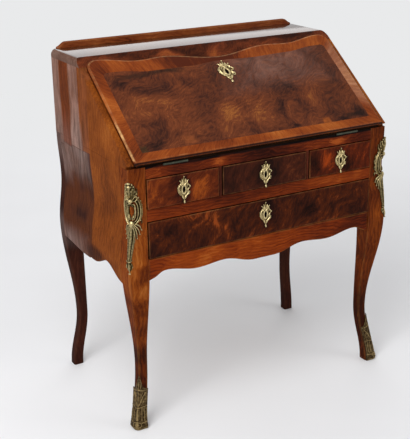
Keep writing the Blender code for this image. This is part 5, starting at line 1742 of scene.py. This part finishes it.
CHUTE_MIDDLES = (
    (((0, 110), (0, 140), (0, 175), (0, 207)), (10, 9, 5), 6, GROUND),
    (((0, 205), (0, 216), (0, 228)), (4, 5, 2), 6, GROUND),
    (((0, 40), (0, 28), (0, 15), (0, 1)), (2.0, 3.6, 0.8), 7.5, LEAF),
    (((0, 44), (0, 50), (0, 56)), (2.4, 3.8, 1.8), 8, REED),
    (((0, 101), (0, 108), (0, 117)), (1.8, 3.8, 2.0), 8, REED),
    (((0, 114), (0, 140), (0, 172), (0, 205)), (1.8, 2.2, 1.4), 5.5, REED),
    (((-6.5, 205), (0, 207.5), (6.5, 205)), (1.2, 2.2, 1.2), 5, REED),
    (((0, 208), (0, 218), (0, 228), (0, 239)), (1.6, 3.4, 0.5), 5, LEAF),
)
CHUTE_TAIL = (140, 206)
CHUTE_TAIL_GLEAM = 0.72
SIDE_GLEAM = 0.85

# Older and deeper gold, nearly black in the hollows
mount_gilt = metal("old gilt bronze", "#bfac7c", "#33270f", smooth=0.30, rough=0.58, **CHASED)
front_wall = faces_of("front_leg_right")[2]


def tail_gleam(points):
    """How bright a stroke of a corner mount is: its reeded tail is duller than the rest."""
    middle = sum(v for u, v in points) / len(points)
    return CHUTE_TAIL_GLEAM if CHUTE_TAIL[0] < middle < CHUTE_TAIL[1] else 1.0


def round_post(side, lean):
    """Lays (u, z, lift) round the arris of a front post: u runs back along its side and, below 0, along
    its front. Lean gives how far off the wood a place starts."""

    def wrap(u, z, lift):
        x = flow(outer_wall, z)
        y = flow(front_wall, z)
        out = MOUNT_SEAT + lean(u, z) + lift
        quarter = MOUNT_ROUND * math.pi / 4
        if abs(u) <= quarter:
            turn = math.pi / 4 - u / MOUNT_ROUND
            reach = MOUNT_ROUND + out
            across = MOUNT_ROUND - reach * math.cos(turn)
            deep = MOUNT_ROUND - reach * math.sin(turn)
        else:
            along = MOUNT_ROUND + abs(u) - quarter
            across, deep = (-out, along) if u > 0 else (along, -out)
        return (side * (x - across), y + deep, z)

    return wrap


for word, side in (("left", -1), ("right", 1)):
    node = f"chute_{word}"
    top_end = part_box(node)[1].z
    wrap = round_post(side, lambda u, z: 0.0)

    def on_post(u, v, lift):
        """Measured down from the mount's top."""
        return wrap(u, top_end - v, lift)

    casting = ([], [], [])
    for points, widths, relief, section in CHUTE_PAIRS:
        for hand in (1, -1):
            share = CHUTE_SIDE_SHARE if hand > 0 else -1
            path = [(share * u, v) for u, v in curve(points)]
            gleam = tail_gleam(points) * (SIDE_GLEAM if hand > 0 else 1)
            chase(casting, path, widths, relief, section, on_post, gleam=gleam)
    for points, widths, relief, section in CHUTE_MIDDLES:
        chase(casting, curve(points), widths, relief, section, on_post, gleam=tail_gleam(points))
    for u, v, radius in BUD_BEADS + LEAF_BEADS + RIM_BEADS + SPRAY_BEADS:
        for hand in (1, -1) if u else (1,):
            share = CHUTE_SIDE_SHARE if hand > 0 else -1
            bead(casting, share * u, v, radius, lambda a, b, lift: on_post(a, b, lift + CHUTE_GROUND))
    cast(f"{node}_chased", casting, mount_gilt, "gilt_bronze", node)

# Foot mounts
# A cast shoe of gilt bronze covers the two outer faces of each front foot: a leaf with a ribbed heart runs up
# the arris to a point, curls out at the sides and ends in a scrolled toe, dulled by floor polish.

SHOE_COLLAR = 0.108
SHOE_TONGUE = 0.040
SHOE_HALF = 0.026
SHOE_COLUMNS = 41
SHOE_ROWS = 60
# Height up the foot, and how far the shoe's face stands off its back there
TOE_RELIEF = ((0.0, 0.0050), (0.010, 0.0075), (0.026, 0.0040))
ANKLE_RELIEF = ((0.058, 0.0014), (0.108, 0.0011), (0.150, 0.0008))
SHOE_RIBS = 6
SHOE_RIB_RELIEF = 0.0007
SHOE_GLEAM = 0.45
# Path, half widths, relief and section of each stroke, up from the floor and out from the arris
SHOE_STROKES = (
    (((0, 64), (0, 90), (0, 118), (0, 145)), (2.6, 2.0, 0.6), 2.0, LEAF),
    (((25, 104.5), (12, 105), (0, 108), (-12, 105), (-25, 104.5)), (1.1, 1.3, 1.1), 1.8, REED),
    (((25, 63), (12, 62), (0, 61), (-12, 62), (-25, 63)), (1.4, 1.6, 1.4), 2.0, REED),
    (((1, 66), (6, 78), (12, 90), (21, 101)), (0.8, 2.0, 0.8), 1.8, REED),
    (((2, 80), (6, 92), (10, 100), (13, 103)), (0.6, 1.5, 0.6), 1.6, LEAF),
    (((7, 65), (13, 74), (19, 83), (24, 90)), (0.8, 1.8, 0.7), 1.6, LEAF),
    (((1.5, 106), (3.5, 116), (4.5, 126), (2, 136)), (0.6, 1.3, 0.5), 1.6, REED),
    (((9, 26), (9.5, 38), (9, 50), (7, 59)), (1.8, 1.8, 1.0), 2.0, REED),
    (((17, 25), (18, 36), (17.5, 48), (15, 59)), (1.8, 1.8, 1.0), 2.0, REED),
    (((24, 26), (24, 40), (23.5, 52), (22, 59)), (1.2, 1.3, 0.8), 1.8, REED),
    (((0, 28), (0, 38), (0, 48), (0, 58)), (1.8, 2.0, 1.2), 2.2, REED),
    (((0, 4), (9, 4.5), (17, 5), (25, 6)), (3.0, 2.8, 2.4), 2.4, FLUTED),
    (((8, 19), (13, 20), (18, 20.5), (25, 22)), (1.3, 1.5, 1.2), 2.0, REED),
)
# Half width, half height and middle of the boss on the toe, and heights of the bud that lies in it
SHOE_BOSS = (0.0058, 0.0070, 0.0155)
SHOE_BOSS_WIDTHS = (1.4, 1.4, 1.4)
SHOE_BOSS_RELIEF = 2.2
SHOE_BUD = (0.0105, 0.0155, 0.0205)
SHOE_BUD_WIDTHS = (1.2, 3.0, 1.2)
SHOE_BUD_RELIEF = 2.4
# How coarse the surface of a casting is where it has been scuffed
SCUFFED = {"patina": 0.0060, "contrast": 2.0, "pits": 0.0006}

# Brown and blotched, its gilding scuffed away
dull_gilt = metal("worn gilt bronze", "#927c54", "#352617", smooth=0.38, rough=0.62, **SCUFFED)


def shoe_lift(u, z):
    """How far the shoe's face stands off its back, ribbed across the foot."""
    ribs = math.cos(math.pi * SHOE_RIBS * u / SHOE_HALF)
    return flow(TOE_RELIEF + ANKLE_RELIEF, z) + SHOE_RIB_RELIEF * (1 + ribs) / 2 * min(z / SHOE_COLLAR, 1)


for word, side in (("left", -1), ("right", 1)):
    node = f"sabot_{word}"
    bare = round_post(side, lambda u, z: 0.0)
    dressed = round_post(side, shoe_lift)
    casting = ([], [], [])
    points, faces, raised = casting
    for layer in (0, 1):
        for u in spread(-SHOE_HALF, SHOE_HALF, SHOE_COLUMNS):
            peak = SHOE_COLLAR + SHOE_TONGUE * max(1 - abs(u) / SHOE_HALF, 0) ** 3
            for z in spread(0.0, peak, SHOE_ROWS):
                points.append(bare(u, z, shoe_lift(u, z) if layer else 0.0))
                raised.append(SHOE_GLEAM if layer else 0.0)
    size = SHOE_COLUMNS * SHOE_ROWS
    for column in range(SHOE_COLUMNS - 1):
        for row in range(SHOE_ROWS - 1):
            k = column * SHOE_ROWS + row
            quad = (k, k + 1, k + SHOE_ROWS + 1, k + SHOE_ROWS)
            faces.append(quad)
            faces.append(tuple(size + index for index in quad))
    rim = [column * SHOE_ROWS for column in range(SHOE_COLUMNS)]
    rim += [size - SHOE_ROWS + row for row in range(1, SHOE_ROWS)]
    rim += [column * SHOE_ROWS + SHOE_ROWS - 1 for column in range(SHOE_COLUMNS - 2, -1, -1)]
    rim += list(range(SHOE_ROWS - 2, 0, -1))
    for k, index in enumerate(rim):
        after = rim[(k + 1) % len(rim)]
        faces.append((index, after, size + after, size + index))
    for stations, widths, relief, section in SHOE_STROKES:
        one_sided = sum(u for u, v in stations) > 0
        for hand in (1, -1) if one_sided else (1,):
            path = [(hand * u, v) for u, v in curve(stations)]
            chase(casting, path, widths, relief, section, dressed)
    chase(casting, oval(*SHOE_BOSS), SHOE_BOSS_WIDTHS, SHOE_BOSS_RELIEF, REED, dressed, True)
    chase(casting, [(0, z) for z in SHOE_BUD], SHOE_BUD_WIDTHS, SHOE_BUD_RELIEF, REED, dressed)
    cast(f"{node}_chased", casting, dull_gilt, "gilt_bronze", node)

# Stage
# A plain pale floor under soft studio light: a wide softbox to the left of the camera, a dimmer one to the
# right, one overhead and one that lights the floor behind. The camera stands where the photograph was taken
# from.

FLOOR_REACH = 14.0
FADE_START = 1.0
FADE_END = 4.0
SURROUND = "#f4f5f6"
SURROUND_LEVEL = 0.90
PHOTO_WIDTH = 410
FOCAL_PIXELS = 1013.53
SENSOR = 36.0
SPECKLE = 0.4
AMBIENT_LEVEL = 0.55
DESK_MIDDLE = (0, 0, 0.55)
# Place, aim, width and watts of each lamp
SOFTBOXES = {
    "left_softbox": ((-2.6, -2.0, 2.4), DESK_MIDDLE, 1.8, 60),
    "right_softbox": ((2.4, -2.6, 1.8), DESK_MIDDLE, 1.6, 16),
    "overhead_softbox": ((-1.4, -1.0, 3.2), DESK_MIDDLE, 1.8, 36),
    "backdrop_softbox": ((1.6, 3.4, 2.8), (1.2, 3.0, 0), 3.4, 48),
}
EYE = Vector((-1.3905, -2.3808, 1.4288))
AZIMUTH = math.radians(29.2933)
DOWN = math.radians(19.4368)
ROLL = math.radians(-1.0384)


def sees_surround(tree):
    """1 for the rays that show the surround: those from the camera, off a gloss and through glass."""
    rays = tree.nodes.new("ShaderNodeLightPath").outputs
    seen = rays["Is Camera Ray"]
    for ray in ("Is Glossy Ray", "Is Transmission Ray"):
        seen = add(tree, "ShaderNodeMath", {0: seen, 1: rays[ray]}, operation="MAXIMUM")
    return seen


# Even pale grey without a gloss, fading into the surround far from the desk
paper, tree, shader = new_finish("pale matt floor", {"Roughness": 0.9})
place = add(tree, "ShaderNodeTexCoord", output="Object")
speckle = add(tree, "ShaderNodeTexNoise", {"Vector": place, "Scale": 1 / SPECKLE, "Detail": 2.0})
tints = {0: speckle, 6: linear("#e8e8ea"), 7: linear("#eeeef0")}
tree.links.new(add(tree, "ShaderNodeMix", tints, 2, data_type="RGBA"), shader.inputs["Base Color"])
far = add(tree, "ShaderNodeVectorMath", {0: place}, "Value", operation="LENGTH")
fade = {"Value": far, "From Min": FADE_START, "From Max": FADE_END}
fade = add(tree, "ShaderNodeMapRange", fade, interpolation_type="SMOOTHSTEP")
fade = add(tree, "ShaderNodeMath", {0: fade, 1: sees_surround(tree)}, operation="MULTIPLY")
haze = add(tree, "ShaderNodeEmission", {"Color": linear(SURROUND), "Strength": SURROUND_LEVEL})
blend = add(tree, "ShaderNodeMixShader", {0: fade, 1: shader.outputs[0], 2: haze})
tree.links.new(blend, tree.nodes["Material Output"].inputs["Surface"])
corners = [(-FLOOR_REACH, -FLOOR_REACH, 0), (FLOOR_REACH, -FLOOR_REACH, 0)]
corners += [(FLOOR_REACH, FLOOR_REACH, 0), (-FLOOR_REACH, FLOOR_REACH, 0)]
mesh = bpy.data.meshes.new("floor")
mesh.from_pydata(corners, [], [(0, 1, 2, 3)])
mesh.materials.append(paper)
show("floor", mesh)

world = bpy.data.worlds.new("studio")
bpy.context.scene.world = world
world.use_nodes = True
tree = world.node_tree
levels = {"Value": sees_surround(tree), "To Min": AMBIENT_LEVEL, "To Max": SURROUND_LEVEL}
strength = add(tree, "ShaderNodeMapRange", levels)
sky = tree.nodes["Background"]
sky.inputs["Color"].default_value = linear(SURROUND)
tree.links.new(strength, sky.inputs["Strength"])

for name, (spot, aim, width, watts) in SOFTBOXES.items():
    lamp = bpy.data.lights.new(name, "AREA")
    lamp.shape = "SQUARE"
    lamp.size = width
    lamp.energy = watts
    holder = show(name, lamp)
    holder.location = spot
    holder.rotation_euler = (Vector(aim) - Vector(spot)).to_track_quat("-Z", "Y").to_euler()

ahead = Vector((math.sin(AZIMUTH) * math.cos(DOWN), math.cos(AZIMUTH) * math.cos(DOWN), -math.sin(DOWN)))
level = Vector((math.cos(AZIMUTH), -math.sin(AZIMUTH), 0))
above = level.cross(ahead)
right = math.cos(ROLL) * level + math.sin(ROLL) * above
above = math.cos(ROLL) * above - math.sin(ROLL) * level
lens = bpy.data.cameras.new("camera")
lens.sensor_fit = "HORIZONTAL"
lens.sensor_width = SENSOR
lens.lens = SENSOR * FOCAL_PIXELS / PHOTO_WIDTH
camera = show("camera", lens)
camera.matrix_world = Matrix.Translation(EYE) @ Matrix((right, above, -ahead)).transposed().to_4x4()
bpy.context.scene.camera = camera
bpy.context.scene.view_settings.view_transform = "Standard"
